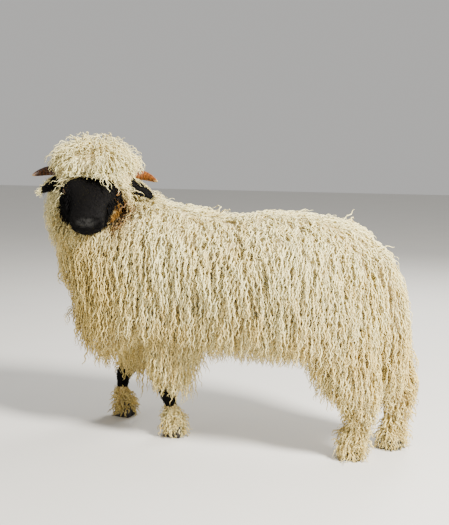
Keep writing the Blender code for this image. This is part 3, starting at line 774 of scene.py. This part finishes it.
def lockPiece(name, roots, paths, cut, rng, material):
    # three-sided locks, closed at both ends: width (1 - 0.97 t^4)^0.7, a little thinner at the root
    path, lift, length = paths
    count, rows, _ = path.shape
    t = np.linspace(0, 1, rows)
    taper = (1 - 0.97 * t**4) ** 0.7 * (0.6 + 0.4 * ease(t / 0.3))
    width = (cut["width"] * rng.uniform(0.75, 1.25, count))[:, None] * taper
    corner = np.radians([90, 210, 330])
    tangent = unit(np.gradient(path, axis=1))
    across = unit(np.cross(tangent, lift))
    above = np.cross(across, tangent)
    ring = (across[:, :, None] * np.cos(corner)[:, None] * width[..., None, None]
            + above[:, :, None] * np.sin(corner)[:, None] * width[..., None, None] * cut["flat"])
    points = (path[:, :, None] + ring).reshape(-1, 3)
    points = np.clip(points, np.array(cadLow) - lockEnds["margin"], np.array(cadHigh) + lockEnds["margin"])
    points[:, 2] = np.maximum(points[:, 2], lockEnds["floorGap"])
    i, j = np.meshgrid(np.arange(rows - 1), np.arange(3), indexing="ij")
    k, low, high = (j + 1) % 3, i * 3, (i + 1) * 3
    end = (rows - 1) * 3
    one = np.vstack([np.stack([low + j, low + k, high + k], -1).reshape(-1, 3),
                     np.stack([low + j, high + k, high + j], -1).reshape(-1, 3),
                     [[0, 2, 1]], [[end, end + 1, end + 2]]])
    around = np.vstack([np.stack([j, j + 1, j + 1], -1).reshape(-1, 3),
                        np.stack([j, j + 1, j], -1).reshape(-1, 3), [[0, 2, 1]], [[0, 1, 2]]]) / 3
    _, flipped = outward(points[:rows * 3], noQuads, one)
    if (flipped != one).any():
        one, around = flipped, around[:, ::-1]
    triangles = (one[None] + (np.arange(count) * rows * 3)[:, None, None]).reshape(-1, 3)
    mesh = meshFrom(name, points, noQuads, triangles)
    along = t[one // 3]
    patch = np.stack([around - 0.5, along - 0.5], -1) * lockEnds["patch"]
    bake = np.clip(roots["uv"], 0.002, 0.998)[:, None, None] + patch
    shift = rng.random((count, 1, 1))
    streak = np.stack([around + shift, along * (length / lockEnds["streak"])[:, None, None] + 7 * shift], -1)
    for label, uv in (("OFBake", bake), ("Lock", streak)):
        fill(mesh.uv_layers.new(name=label).uv, "vector", uv)
    mesh.uv_layers["OFBake"].active = True
    mesh.uv_layers["OFBake"].active_render = True
    shares = dict(dark=roots["dark"], stain=stainShare(roots["points"]), tint=rng.random(count))
    for label, values in shares.items():
        number(mesh, label, np.repeat(values, rows * 3))
    number(mesh, "tip", np.tile(np.repeat(t, 3), count))
    mesh.materials.append(material)
    piece = objectOf(name, mesh)
    register(piece, None, "black_hair" if roots["dark"].mean() > 0.5 else "fleece")
    return piece


def addNode(tree, kind, **settings):
    node = tree.nodes.new(kind)
    for name, value in settings.items():
        setattr(node, name, value)
    return node


def wire(tree, node, **inputs):
    # sockets by name with underscores for spaces, or i and a number; a socket is linked and a value is set
    for name, value in inputs.items():
        numbered = name[0] == "i" and name[1:].isdigit()
        socket = node.inputs[int(name[1:]) if numbered else name.replace("_", " ")]
        if isinstance(value, bpy.types.NodeSocket):
            tree.links.new(value, socket)
        else:
            socket.default_value = value
    return node


def math2(tree, operation, a, b=0.0):
    return wire(tree, addNode(tree, "ShaderNodeMath", operation=operation), i0=a, i1=b).outputs[0]


def times(tree, a, b):
    return math2(tree, "MULTIPLY", a, b)


def plus(tree, a, b):
    return math2(tree, "ADD", a, b)


def splitOf(tree, vector):
    return wire(tree, addNode(tree, "ShaderNodeSeparateXYZ"), Vector=vector).outputs


def mixed(tree, share, a, b, blend="MIX"):
    node = addNode(tree, "ShaderNodeMix", data_type="RGBA", blend_type=blend)
    return wire(tree, node, i0=share, i6=a, i7=b).outputs[2]


def ranged(tree, value, low, high, toLow=0.0, toHigh=1.0):
    node = addNode(tree, "ShaderNodeMapRange", interpolation_type="SMOOTHSTEP")
    return wire(tree, node, i0=value, i1=low, i2=high, i3=toLow, i4=toHigh).outputs[0]


def noiseAt(tree, place, scale, detail=3.0, rough=0.55):
    node = addNode(tree, "ShaderNodeTexNoise")
    return wire(tree, node, Vector=place, Scale=scale, Detail=detail, Roughness=rough).outputs["Fac"]


def attribute(tree, name):
    return addNode(tree, "ShaderNodeAttribute", attribute_name=name).outputs["Fac"]


def newGroup(name, inputs, outputs):
    # sockets by name, each with its kind, or for a float input the number that it starts from
    group = bpy.data.node_groups.new(name, "ShaderNodeTree")
    for label, given in inputs.items():
        kind = given if isinstance(given, str) else "Float"
        socket = group.interface.new_socket(label, in_out="INPUT", socket_type="NodeSocket" + kind)
        if kind != given:
            socket.default_value = given
    for label, kind in outputs.items():
        group.interface.new_socket(label, in_out="OUTPUT", socket_type="NodeSocket" + kind)
    return group, group.nodes.new("NodeGroupInput").outputs, group.nodes.new("NodeGroupOutput")


def used(tree, group, **inputs):
    return wire(tree, addNode(tree, "ShaderNodeGroup", node_tree=group), **inputs).outputs


def fleeceTones():
    # cream that turns to ochre in broad blotches, low on the body and on the chest, in some locks more; the
    # chest's ochre is partly a real stain and partly painted shade
    sockets = dict(Place="Vector", Cream="Color", Ochre="Color", Brown="Color", Black="Color", Lock=0.5,
                   Dark=0.0, Stain=0.0, Low=0.25, High=0.75)
    group, given, out = newGroup("Fleece tones", sockets, dict(Colour="Color", Dark="Float"))
    split = splitOf(group, given["Place"])
    lowDown = ranged(group, split["Z"], given["High"], given["Low"])
    # the chest's share of ochre: partly a real stain, partly painted shade of the chest
    chest = times(group, ranged(group, split["X"], -0.22, -0.48), ranged(group, split["Z"], 0.86, 0.72))
    blotch = noiseAt(group, given["Place"], 22.0, 3.0)
    share, broad = times(group, lowDown, 0.30), noiseAt(group, given["Place"], 5.0, 2.0)
    for part, weight in ((broad, 0.55), (blotch, 0.45), (given["Lock"], 0.35), (chest, 0.26)):
        share = plus(group, share, times(group, part, weight))
    colour = mixed(group, ranged(group, share, 0.45, 1.15), given["Cream"], given["Ochre"])
    stain = times(group, given["Stain"], ranged(group, blotch, 0.05, 0.55))
    colour = mixed(group, stain, colour, given["Brown"])
    ragged = plus(group, given["Dark"], times(group, math2(group, "SUBTRACT", blotch, 0.5), 0.5))
    dark = ranged(group, ragged, 0.40, 0.60)
    wire(group, out, Colour=mixed(group, dark, colour, given["Black"]), Dark=dark)
    return group


def lockGrain():
    # fine streaks along a lock with its crimp across, as a height and as a tone; the tone is painted shade in
    # the grooves
    group, given, out = newGroup("Lock grain", dict(Lock="Vector", Strands=9.0, Crimp=5.0),
                                 dict(Height="Float", Tone="Float"))
    split = splitOf(group, given["Lock"])
    across = times(group, split["X"], given["Strands"])
    along = times(group, split["Y"], 2.2)
    place = wire(group, addNode(group, "ShaderNodeCombineXYZ"), X=across, Y=along).outputs[0]
    strands = noiseAt(group, place, 1.0, 2.0, 0.6)
    waves = times(group, split["Y"], given["Crimp"])
    waves = plus(group, waves, times(group, strands, 1.3))
    crimp = math2(group, "SINE", times(group, waves, 2 * math.pi))
    height = plus(group, strands, times(group, crimp, 0.26))
    wire(group, out, Height=height, Tone=ranged(group, height, 0.25, 0.85))
    return group


def shortFur():
    # hairs as stretched noise along one direction of the given place
    group, given, out = newGroup("Short fur", dict(Place="Vector", Across=700.0, Along=90.0),
                                 dict(Height="Float", Tone="Float"))
    size = wire(group, addNode(group, "ShaderNodeCombineXYZ"), X=given["Along"], Y=given["Across"],
                Z=given["Across"]).outputs[0]
    stretched = wire(group, addNode(group, "ShaderNodeVectorMath", operation="MULTIPLY"), i0=given["Place"],
                     i1=size).outputs[0]
    hairs = noiseAt(group, stretched, 1.0, 3.0, 0.6)
    tuft = noiseAt(group, given["Place"], 60.0, 2.0)
    wire(group, out, Height=plus(group, hairs, times(group, tuft, 0.6)),
         Tone=ranged(group, hairs, 0.3, 0.75))
    return group


def growthRings():
    # rings across a horn or a hoof, uneven in width, from the piece's own second coordinate
    group, given, out = newGroup("Growth rings", dict(Along="Vector", Count=14.0),
                                 dict(Height="Float", Tone="Float"))
    split = splitOf(group, given["Along"])
    waver = noiseAt(group, given["Along"], 6.0, 3.0)
    along = times(group, split["Y"], given["Count"])
    along = plus(group, along, times(group, waver, 1.6))
    rings = math2(group, "SINE", times(group, along, 2 * math.pi))
    drawn = addNode(group, "ShaderNodeMapping")
    drawn = wire(group, drawn, Vector=given["Along"], Scale=(26.0, 1.5, 1.0)).outputs[0]
    fibre = noiseAt(group, drawn, 1.0, 3.0)
    height = plus(group, times(group, rings, 0.4), times(group, fibre, 0.8))
    wire(group, out, Height=height, Tone=ranged(group, height, -0.1, 1.0))
    return group


def newMaterial(name):
    material = bpy.data.materials.new(name)
    material.use_nodes = True
    return material, material.node_tree, material.node_tree.nodes["Principled BSDF"]


def bumped(tree, shader, height, strength, distance):
    bump = wire(tree, addNode(tree, "ShaderNodeBump"), Height=height, Strength=strength, Distance=distance)
    wire(tree, shader, Normal=bump.outputs[0])


def uvOf(tree, name):
    return addNode(tree, "ShaderNodeUVMap", uv_map=name).outputs[0]


def objectPlace(tree):
    return addNode(tree, "ShaderNodeTexCoord").outputs["Object"]


tones = dict(Cream=(0.97, 0.89, 0.48, 1), Ochre=(0.80, 0.61, 0.20, 1), Brown=(0.21, 0.100, 0.018, 1),
             Black=(0.0030, 0.0028, 0.0030, 1))
# painted shade: the wool's tones darkened for the felt under the locks, so that the gaps between them read
# dark
feltShadeTones = dict(tones, Cream=(0.66, 0.57, 0.33, 1), Ochre=(0.48, 0.35, 0.14, 1),
                 Brown=(0.10, 0.045, 0.018, 1))
hairSheenTone = (0.006, 0.005, 0.0045, 1)  # painted sheen: streaks on the black face's short hair, lighter than the black


def woolMaterial(name, rootShade, sheen, gloss):
    # the fleece's colours, with painted shade: darker at a lock's root and in the grooves of its grain
    material, tree, shader = newMaterial(name)
    dark, stain, tint, tip = [attribute(tree, a) for a in ("dark", "stain", "tint", "tip")]
    tone = used(tree, groups["tones"], Place=objectPlace(tree), Lock=tint, Dark=dark, Stain=stain, **tones)
    streak = used(tree, groups["grain"], Lock=uvOf(tree, "Lock"))
    # painted shade: the grain's grooves darkened, and each lock darker towards its root down to rootShade
    grooveShade = ranged(tree, streak["Tone"], 0.0, 1.0, 0.72, 1.08)
    shade = times(tree, ranged(tree, tip, 0.0, 0.55, rootShade, 1.0), grooveShade)
    paintedShade = wire(tree, addNode(tree, "ShaderNodeCombineColor"), i0=shade, i1=shade, i2=shade).outputs[0]
    wire(tree, shader, Base_Color=mixed(tree, 1.0, tone["Colour"], paintedShade, "MULTIPLY"),
         Roughness=ranged(tree, tone["Dark"], 0.0, 1.0, 0.80, 0.65), Sheen_Weight=sheen, Sheen_Roughness=0.45,
         Specular_IOR_Level=gloss)
    bumped(tree, shader, streak["Height"], strength=0.55, distance=0.0012)
    return material


def skinMaterial():
    # under the wool a dense felted fleece in darker tones, painted shade between the locks; on face and ears
    # short hair that lies towards the nose
    material, tree, shader = newMaterial("skin")
    place = objectPlace(tree)
    dark, stain, short, bare = [attribute(tree, a) for a in ("dark", "stain", "short", "bare")]
    tone = used(tree, groups["tones"], Place=place, Dark=dark, Stain=stain, **feltShadeTones)
    headTurn = Matrix((headAlong, headRight, headBrow)).to_euler()  # X runs along the face, Z out of the brow
    turned = wire(tree, addNode(tree, "ShaderNodeMapping"), Vector=place, Rotation=headTurn).outputs[0]
    hairs = used(tree, groups["fur"], Place=turned)
    # painted sheen on the face's short hair, along the streaks of the fur
    colour = mixed(tree, times(tree, hairs["Tone"], 0.4), tone["Colour"], hairSheenTone)
    colour = mixed(tree, tone["Dark"], tone["Colour"], colour)
    pores = wire(tree, addNode(tree, "ShaderNodeTexVoronoi"), Vector=place, Scale=420.0).outputs["Distance"]
    height = noiseAt(tree, place, 160.0, 4.0, 0.65)
    for share, other in ((short, hairs["Height"]), (bare, times(tree, pores, 0.5))):
        mix = addNode(tree, "ShaderNodeMix", data_type="FLOAT")
        height = wire(tree, mix, i0=share, i2=height, i3=other).outputs[0]
    wire(tree, shader, Base_Color=colour, Roughness=ranged(tree, short, 0.0, 1.0, 0.9, 0.70),
         Coat_Weight=times(tree, bare, 0.60), Coat_Roughness=0.24, Specular_IOR_Level=0.05)
    bumped(tree, shader, height, strength=0.7, distance=0.0012)
    return material


def ringedMaterial(name, base, light, dark, tip, count, rough, height):
    # growth rings between two tones, worn to a light tip
    material, tree, shader = newMaterial(name)
    uv = uvOf(tree, "OFBake")
    rings = used(tree, groups["rings"], Along=uv, Count=count)
    worn = noiseAt(tree, objectPlace(tree), 90.0, 4.0, 0.6)
    colour = mixed(tree, ranged(tree, rings["Tone"], 0.0, 1.0), dark, base)
    reach = plus(tree, splitOf(tree, uv)["Y"], times(tree, math2(tree, "SUBTRACT", worn, 0.5), 0.25))
    colour = mixed(tree, ranged(tree, reach, tip, 1.0), colour, light)
    wire(tree, shader, Base_Color=colour, Roughness=ranged(tree, worn, 0.3, 0.7, rough - 0.08, rough + 0.15))
    bumped(tree, shader, rings["Height"], strength=0.6, distance=height)
    return material


eyeTones = dict(amber=(0.42, 0.22, 0.06, 1), spoke=(0.16, 0.065, 0.015, 1), pupil=(0.004, 0.004, 0.005, 1),
                rim=(0.015, 0.010, 0.008, 1), white=(0.16, 0.11, 0.08, 1), pupilLong=0.093, pupilHigh=0.034,
                irisEdge=(0.165, 0.185), whiteEdge=(0.21, 0.25))


def eyeMaterial():
    # amber iris with fine spokes, a level bar of a pupil, a dark rim, and the white only at the edge
    material, tree, shader = newMaterial("eye")
    middle = addNode(tree, "ShaderNodeVectorMath", operation="SUBTRACT")
    place = wire(tree, middle, i0=uvOf(tree, "OFBake"), i1=(0.5, 0.5, 0)).outputs[0]
    split = splitOf(tree, place)
    far = wire(tree, addNode(tree, "ShaderNodeVectorMath", operation="LENGTH"), i0=place).outputs["Value"]
    angle = math2(tree, "ARCTAN2", split["Y"], split["X"])
    wheel = addNode(tree, "ShaderNodeCombineXYZ")
    wheel = wire(tree, wheel, X=times(tree, angle, 9.0), Y=times(tree, far, 10.0)).outputs[0]
    spokes = noiseAt(tree, wheel, 1.5, 3.0)
    colour = mixed(tree, ranged(tree, spokes, 0.3, 0.7), eyeTones["spoke"], eyeTones["amber"])
    halves = [math2(tree, "ABSOLUTE", math2(tree, "DIVIDE", split[axis], eyeTones[half]))
              for axis, half in (("X", "pupilLong"), ("Y", "pupilHigh"))]
    pupil = plus(tree, *[math2(tree, "POWER", half, 4.0) for half in halves])
    colour = mixed(tree, ranged(tree, pupil, 1.3, 0.7), colour, eyeTones["pupil"])
    colour = mixed(tree, ranged(tree, far, *eyeTones["irisEdge"]), colour, eyeTones["rim"])
    colour = mixed(tree, ranged(tree, far, *eyeTones["whiteEdge"]), colour, eyeTones["white"])
    wire(tree, shader, Base_Color=colour, Roughness=ranged(tree, far, 0.18, 0.25, 0.05, 0.2), Coat_Weight=0.5,
         Coat_Roughness=0.04, Specular_IOR_Level=0.2)
    return material


groups = dict(tones=fleeceTones(), grain=lockGrain(), fur=shortFur(), rings=growthRings())


hornCut = dict(reach=0.217, root=0.105, radius=0.0185, rings=8, ringDepth=0.055, back=0.020, bow=0.034,
               forward=0.018, rise=0.034, arch=0.006, fall=0.016)


def hornMesh(side):
    # leaves the poll sideways, bows back, comes forward to its tip; ridges as |sin| of the way along
    t = np.linspace(0, 1, 130)
    aside = signOf[side] * (hornCut["root"] + (hornCut["reach"] - hornCut["root"]) * t)
    back = -hornCut["back"] - hornCut["bow"] * np.sin(math.pi * t) + hornCut["forward"] * t
    rise = hornCut["rise"] + hornCut["arch"] * np.sin(math.pi * t) - hornCut["fall"] * t**2
    path = levelPoint(back, aside, rise)
    ridge = np.abs(np.sin(math.pi * hornCut["rings"] * t**0.85)) ** 0.6
    ridge = 1 - hornCut["ringDepth"] * (1 - ridge) * ease((0.95 - t) / 0.3)
    size = (hornCut["radius"] * (1 - t**2.8) ** 0.7 + 0.0006) * ridge
    rings = sweep(path, headFacing, 0.80 * size, size, size, square=2.2, count=40)
    return gridShell("horn_" + side, rings, mapped=True)


def eyeMesh(side):
    # a ball with the cornea as a low dome in front; its map is a flat view from the pupil
    out, slit, rise = eyeAxes(side)
    a = np.linspace(0.012, math.pi - 0.012, 40)[:, None]
    b = np.linspace(0, 2 * math.pi, 56, endpoint=False)[None]
    radius = eyeCut["radius"] - 0.0002 + 0.0009 * np.exp(-(a / 0.55) ** 2)
    flat = radius * np.sin(a)
    rings = eyeAt[side] + (flat * np.cos(b))[..., None] * slit + (flat * np.sin(b))[..., None] * rise
    rings = rings + (radius * np.cos(a) * np.ones_like(b))[..., None] * out
    mesh = gridShell("eye_" + side, rings, mapped=True)
    away = coordsOf(mesh)[cornersOf(mesh)] - eyeAt[side]
    turned = np.arccos(np.clip(dot(unit(away), out), -1, 1)) / math.pi
    plane = unit(np.stack([dot(away, slit), dot(away, rise)], -1) + 1e-9)
    fill(mesh.uv_layers["OFBake"].uv, "vector", 0.5 + plane * turned[:, None] * 0.49)
    return mesh


hoofCut = dict(length=0.066, height=0.042, slope=0.62, half=0.0135, cleft=0.005, rings=5,
               pastern=(0.023, 0.021, 0.020), pasternUp=0.046)


def hoofMesh(foot):
    # two claws, each a half-round wall over a flat sole that narrows to the toe, and the pastern over them
    low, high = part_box("hoof_" + foot)
    t = np.linspace(0, 1, 30)
    arch, sole = np.linspace(0, math.pi, 26), np.linspace(-1, 1, 14)[1:-1]
    grids = []
    for side in (-1, 1):
        x = low[0] + hoofCut["length"] * (1 - t)
        half = hoofCut["half"] * np.sqrt(1.02 - (1.15 * t - 0.25) ** 2)
        middle = footAt[foot][1] + side * (hoofCut["cleft"] / 2 + hoofCut["half"] - 0.004 * t**2)
        wall = 1 + 0.02 * np.sin(arch) * np.sin(hoofCut["rings"] * 2 * math.pi * t)[:, None]
        z = (hoofCut["height"] * (1 - hoofCut["slope"] * t**1.4))[:, None] * np.sin(arch) ** 0.5 * wall
        y = middle[:, None] + half[:, None] * np.concatenate([np.cos(arch), sole])
        lift = 0.0010 * (1 - sole**2) * np.ones((len(t), 1))
        grids.append(np.stack([np.broadcast_to(x[:, None], y.shape), y, np.hstack([z, lift])], -1))
    a = np.linspace(0.05, math.pi - 0.05, 20)[:, None]
    b = np.linspace(0, 2 * math.pi, 28, endpoint=False)
    fore, side, rise = hoofCut["pastern"]
    ball = fore * np.sin(a) * np.cos(b), side * np.sin(a) * np.sin(b), rise * np.cos(a) + 0 * b
    middle = [high[0] - 0.46 * hoofCut["length"] + 0.006, footAt[foot][1], hoofCut["pasternUp"]]
    grids.append(np.stack(ball, -1) + np.array(middle))
    return gridShell("hoof_" + foot, grids, mapped=True)


skin = wrapSkin()
print("skin:", len(skin["triangles"]), "triangles")
grid = nearGrid(skin["points"])
register(skin["obj"], fleshNodes, "fleece")
skin["obj"].data.materials.clear()
skin["obj"].data.materials.append(skinMaterial())

# the left horn keeps the horn's own tones; the right horn is the same horn with painted shade, darker
# throughout
hornLook = dict(
    left=ringedMaterial("horn left", base=(0.20, 0.060, 0.005, 1), light=(0.55, 0.40, 0.17, 1),
                        dark=(0.12, 0.033, 0.004, 1), tip=0.92, count=9.0, rough=0.42, height=0.0010),
    right=ringedMaterial("horn right painted shade", base=(0.085, 0.028, 0.006, 1), light=(0.30, 0.19, 0.08, 1),
                         dark=(0.030, 0.011, 0.004, 1), tip=0.90, count=9.0, rough=0.45, height=0.0010))
hoofLook = ringedMaterial("hoof", base=(0.045, 0.038, 0.034, 1), light=(0.12, 0.10, 0.08, 1),
                          dark=(0.015, 0.013, 0.012, 1), tip=0.6, count=6.0, rough=0.50, height=0.0006)
eyeLook = eyeMaterial()
hardParts = []
for side in signOf:
    hardParts.append((hornMesh(side), "horn_" + side, hornLook[side], "horn"))
    hardParts.append((eyeMesh(side), "eye_" + side, eyeLook, "eye"))
hardParts += [(hoofMesh(foot), "hoof_" + foot, hoofLook, "hoof") for foot in footAt]
for mesh, node, look, slotName in hardParts:
    mesh.materials.append(look)
    register(objectOf(node + "_fine", mesh), [node], slotName)
print("horns, eyes and hooves made")

# what a coat has unless it says otherwise; lengths in metres
lockCut = dict(spread=0.35, flat=0.6, layer=0.2, reach=0.6, hang=0.2, stick=0.6, wild=0.0, sunk=0.001,
               curl=1.0, free=0.3, pieces=1)
# spread and layer vary length and height, reach is where the height is full, hang and free pull the end down,
# stick holds to the skin, stray and wild turn single locks aside, wave and curl bend them, seed draws them
coats = dict(
    body=dict(lockCut, count=10800, length=0.112, spread=0.25, segments=14, width=0.0029, flat=0.65,
              height=0.035, layer=0.30, reach=0.40, hang=0.55, stick=0.8, stray=0.09, wild=2.2, sunk=0.003,
              wave=0.0029, waveLength=0.031, curl=1.1, free=1.0, seed=21, pieces=7),
    head=dict(lockCut, count=2700, length=0.088, spread=0.25, segments=16, width=0.0024, flat=0.65,
              height=0.050, layer=0.45, reach=0.35, hang=0.60, stick=0.9, stray=0.17, wild=1.2, sunk=0.003,
              wave=0.0032, waveLength=0.034, curl=0.9, free=0.6, seed=22, pieces=2),
    legs=dict(lockCut, count=2500, length=0.038, spread=0.30, segments=8, width=0.0029, flat=0.7,
              height=0.018, layer=0.35, hang=0.35, stick=0.8, stray=0.30, wild=2.2, sunk=0.003, wave=0.0034,
              waveLength=0.019, free=0.7, seed=23),
    earTufts=dict(lockCut, count=300, length=0.019, segments=6, width=0.0011, height=0.006, hang=0.35,
                  stray=0.25, wild=1.0, wave=0.0014, waveLength=0.014, curl=1.2, seed=28),
    cheeks=dict(lockCut, count=2300, length=0.025, segments=5, width=0.0017, height=0.010, hang=0.25,
                stick=0.7, stray=0.28, wild=1.5, wave=0.0010, waveLength=0.014, free=0.2, seed=27),
    knees=dict(lockCut, count=500, length=0.012, spread=0.3, segments=3, width=0.0011, height=0.0035,
               layer=0.3, reach=0.7, stray=0.15, wave=0.0004, waveLength=0.02, curl=0.0, free=0.0, seed=24),
    face=dict(lockCut, count=3100, length=0.0085, segments=3, width=0.0008, height=0.0016, reach=0.8,
              hang=0.0, stick=0.5, stray=0.12, sunk=0.0008, wave=0.0002, waveLength=0.02, curl=0.0,
              free=0.0, seed=25),
    ears=dict(lockCut, count=900, length=0.013, spread=0.4, segments=4, width=0.0008, height=0.003, reach=0.8,
              stick=0.5, stray=0.25, sunk=0.0008, wave=0.0006, waveLength=0.015, curl=0.5, seed=26),
)
regionCut = dict(headWool=0.215, bodyWool=0.195, legWool=0.275, kneeFoot=0.10, fetlock=0.13, eyeClear=0.021)


def regionsOf(skin):
    # share of each coat at every vertex of the skin; a share above 1 grows more locks
    points, ear = skin["points"], skin["marks"]["ear"]
    z, black = points[:, 2], cheekShare(points)
    away = np.linalg.norm(points - poll, axis=1)
    wool = (1 - np.maximum.reduce([skin["faceShare"], ear, skin["marks"]["lid"]])) * (1 - black)
    along, right, out = inHead(points)
    edge = ease((along - 0.10) / 0.10) * ease((0.72 - along) / 0.15) * ease((0.035 - out) / 0.03)
    face = skin["faceShare"] * (1 - ear)
    cheeks = np.maximum(edge * skin["marks"]["face"] * ease((np.abs(right) - 0.03) / 0.03), black * (1 - ear))
    for middle in eyeAt.values():
        clear = ease((np.linalg.norm(points - middle, axis=1) - regionCut["eyeClear"]) / 0.006)
        face, cheeks = face * clear, cheeks * clear
    head = ease((regionCut["headWool"] - away) / 0.02) * wool
    head = head * (1 + 1.2 * nearCrown(points) + 0.9 * nearEars(points))
    low = ease((regionCut["legWool"] - z) / 0.02)
    knee = skin["dark"] * low * (z > regionCut["kneeFoot"])
    legs = low * (1 - knee) * (1 + 1.5 * ease((regionCut["fetlock"] - z) / 0.03))
    return dict(body=ease((away - regionCut["bodyWool"]) / 0.02) * (1 - low) * wool, head=head, cheeks=cheeks,
                legs=legs, knees=knee, face=face, ears=ear, earTufts=ear * earEdge(points) ** 2)


def lengthsOf(points, normals, name):
    # shares of a coat's length, height and stray, and how far it clings, by place; longest at the aprons
    x, y, z = points.T
    scale, rise, unrest, cling = [np.ones(len(points)) * k for k in (1, 1, 1, 0)]
    if name == "body":
        chest = ease((-0.20 - x) / 0.15) * ease((0.50 - z) / 0.10)
        top = ease((normals[:, 2] - 0.45) / 0.4)
        scale += 0.12 * chest - 0.16 * ease((0.46 - z) / 0.06)
        scale -= 0.25 * top
        unrest += 1.6 * top
        cling += 0.8 * ease((-0.42 - x) / 0.06) * ease((z - 0.45) / 0.08)
        hem = ease((0.47 - z) / 0.08)
        gap = (x - footAt["front_left"][0] + 0.075) / 0.035
        scale -= 0.50 * np.exp(-gap**2) * hem * (y < 0.02)
        for foot in ("front_left", "front_right"):  # the apron that hangs behind each foreleg
            back = (x - footAt[foot][0] - 0.085) / 0.045
            scale += 0.52 * np.exp(-back**2) * hem * (y * footAt[foot][1] > 0)
        rise -= 0.30 * top + 0.12 * ease((x - 0.45) / 0.1) * (1 - top)
    if name == "head":
        along, right, out = inHead(points)
        fringe = ease((along + 0.10) / 0.15) * ease((out - 0.02) / 0.03)
        parted = np.exp(-((right - markCut["parting"]) / 0.018) ** 2)
        scale += fringe * (0.30 * ease((0.01 - right) / 0.05) - 0.36 - 0.34 * parted)
        strands = (grain(points, 0.007, 9) > 0.25) * ease(-right / 0.02) * ease((right + 0.100) / 0.02)
        scale += 0.60 * fringe * strands
        forward, aside, above = inLevel(points)  # beside the ears the locks stay short of them
        limit = np.clip((0.012 + 1.45 * (above - 0.050)) / coats["head"]["length"], 0.15, 1)
        beside = ease((np.abs(aside) - 0.050) / 0.03) * (above > 0.0) * ease((forward + 0.07) / 0.04)
        beside *= ease((0.075 - forward) / 0.03)
        ears = nearEars(points)
        scale = np.minimum.reduce([scale, 1.3 - (1.3 - limit) * beside, 1.3 - 0.97 * ears])
        rise -= 0.55 * ears
        unrest += 2.5 * nearCrown(points)
        rise += 0.06 * ease((z - 0.93) / 0.04)
    if name == "legs":
        scale *= 1 + 0.5 * ease((z - 0.20) / 0.06) + 0.40 * ease((0.115 - z) / 0.03)
        hind = x > 0.2
        rise += 1.0 * ease((0.125 - z) / 0.04) + 0.8 * hind
        scale += 0.35 * hind
    return dict(scale=scale, rise=rise, unrest=unrest, cling=cling)


def growCoat(name, cut, look):
    # one coat in its pieces, cut along the body with the right side counted 0.8 m further back, so that
    # each stays light enough
    rng = np.random.default_rng(cut["seed"])
    roots = rootsOn(skin, regions[name], cut["count"], rng)
    x, y = roots["points"][:, 0], roots["points"][:, 1]
    order = np.argsort(x + 0.8 * (y > 0), kind="stable") if cut["pieces"] > 1 else np.arange(cut["count"])
    for part, keep in enumerate(np.array_split(order, cut["pieces"]), 1):
        some = {what: values[keep] for what, values in roots.items()}
        if name in ("body", "head", "legs", "earTufts"):  # cream wool to its roots
            some["dark"] = 0 * some["dark"]
        if name == "ears":
            some["dark"] = 1 - earEdge(some["points"])
        cut = dict(cut, **lengthsOf(some["points"], some["normals"], name))
        label = "coat_" + name + ("_" + str(part) if cut["pieces"] > 1 else "")
        piece = lockPiece(label, some, lockPaths(skin, grid, some, cut, rng), cut, rng, look)
        print(label, len(piece.data.polygons), "triangles")


regions = regionsOf(skin)
woolLook = woolMaterial("fleece", rootShade=0.80, sheen=0.25, gloss=0.16)
hairLook = woolMaterial("short hair", rootShade=0.8, sheen=0.0, gloss=0.07)
for name, cut in coats.items():
    growCoat(name, cut, hairLook if name in ("face", "ears", "knees", "cheeks") else woolLook)


studio = dict(half=14.0, floor=((0.66, 0.65, 0.62, 1), (0.70, 0.69, 0.66, 1)), world=(1.0, 0.985, 0.96, 1),
              strength=0.52)


def stage():
    half = studio["half"]
    points = np.array([(x, y, 0.0) for x in (-half, half) for y in (-half, half)])
    mesh = meshFrom("floor", points, np.array([[0, 2, 3, 1]]), noTriangles)
    material, tree, shader = newMaterial("floor")
    grainy = noiseAt(tree, objectPlace(tree), 3.0, 4.0)
    wire(tree, shader, Base_Color=mixed(tree, grainy, *studio["floor"]), Roughness=0.9)
    mesh.materials.append(material)
    objectOf("floor", mesh)
    world = bpy.context.scene.world or bpy.data.worlds.new("studio")
    bpy.context.scene.world = world
    world.use_nodes = True
    background = world.node_tree.nodes.get("Background") or world.node_tree.nodes.new("ShaderNodeBackground")
    wire(world.node_tree, background, Color=studio["world"], Strength=studio["strength"])


lamps = dict(
    key=dict(at=(3.5, -1.4, 3.3), target=(0.0, 0.0, 0.5), size=1.2, power=940, colour=(1.0, 0.96, 0.88)),
    fill=dict(at=(-2.6, -3.6, 1.8), target=(0.0, 0.0, 0.5), size=3.0, power=25, colour=(1.0, 0.99, 0.97)),
    back=dict(at=(0.5, 3.4, 3.0), target=(0.0, 0.0, 0.6), size=1.6, power=170, colour=(1.0, 0.98, 0.94)),
)


def standing(name, data, at, look):
    # a lamp or a camera at a place, looking along a direction
    obj = bpy.data.objects.new(name, data)
    bpy.context.scene.collection.objects.link(obj)
    obj.location = at
    obj.rotation_euler = Vector(look).to_track_quat("-Z", "Y").to_euler()
    return obj


def softLight(name, at, target, size, power, colour):
    lamp = bpy.data.lights.new(name, "AREA")
    lamp.shape, lamp.size, lamp.energy, lamp.color = "DISK", size, power, colour
    standing(name, lamp, at, Vector(target) - Vector(at))


cameraCut = dict(at=(1.2734, -3.1180, 1.05), azimuth=22.0, down=7.4, lens=45.7, sensor=24.0)


def aim():
    lens = bpy.data.cameras.new("camera")
    lens.sensor_fit, lens.sensor_height, lens.lens = "VERTICAL", cameraCut["sensor"], cameraCut["lens"]
    turn, down = math.radians(cameraCut["azimuth"]), math.radians(cameraCut["down"])
    look = -math.sin(turn) * math.cos(down), math.cos(turn) * math.cos(down), -math.sin(down)
    bpy.context.scene.camera = standing("camera", lens, cameraCut["at"], look)


stage()
for name, lamp in lamps.items():
    softLight(name, **lamp)
aim()
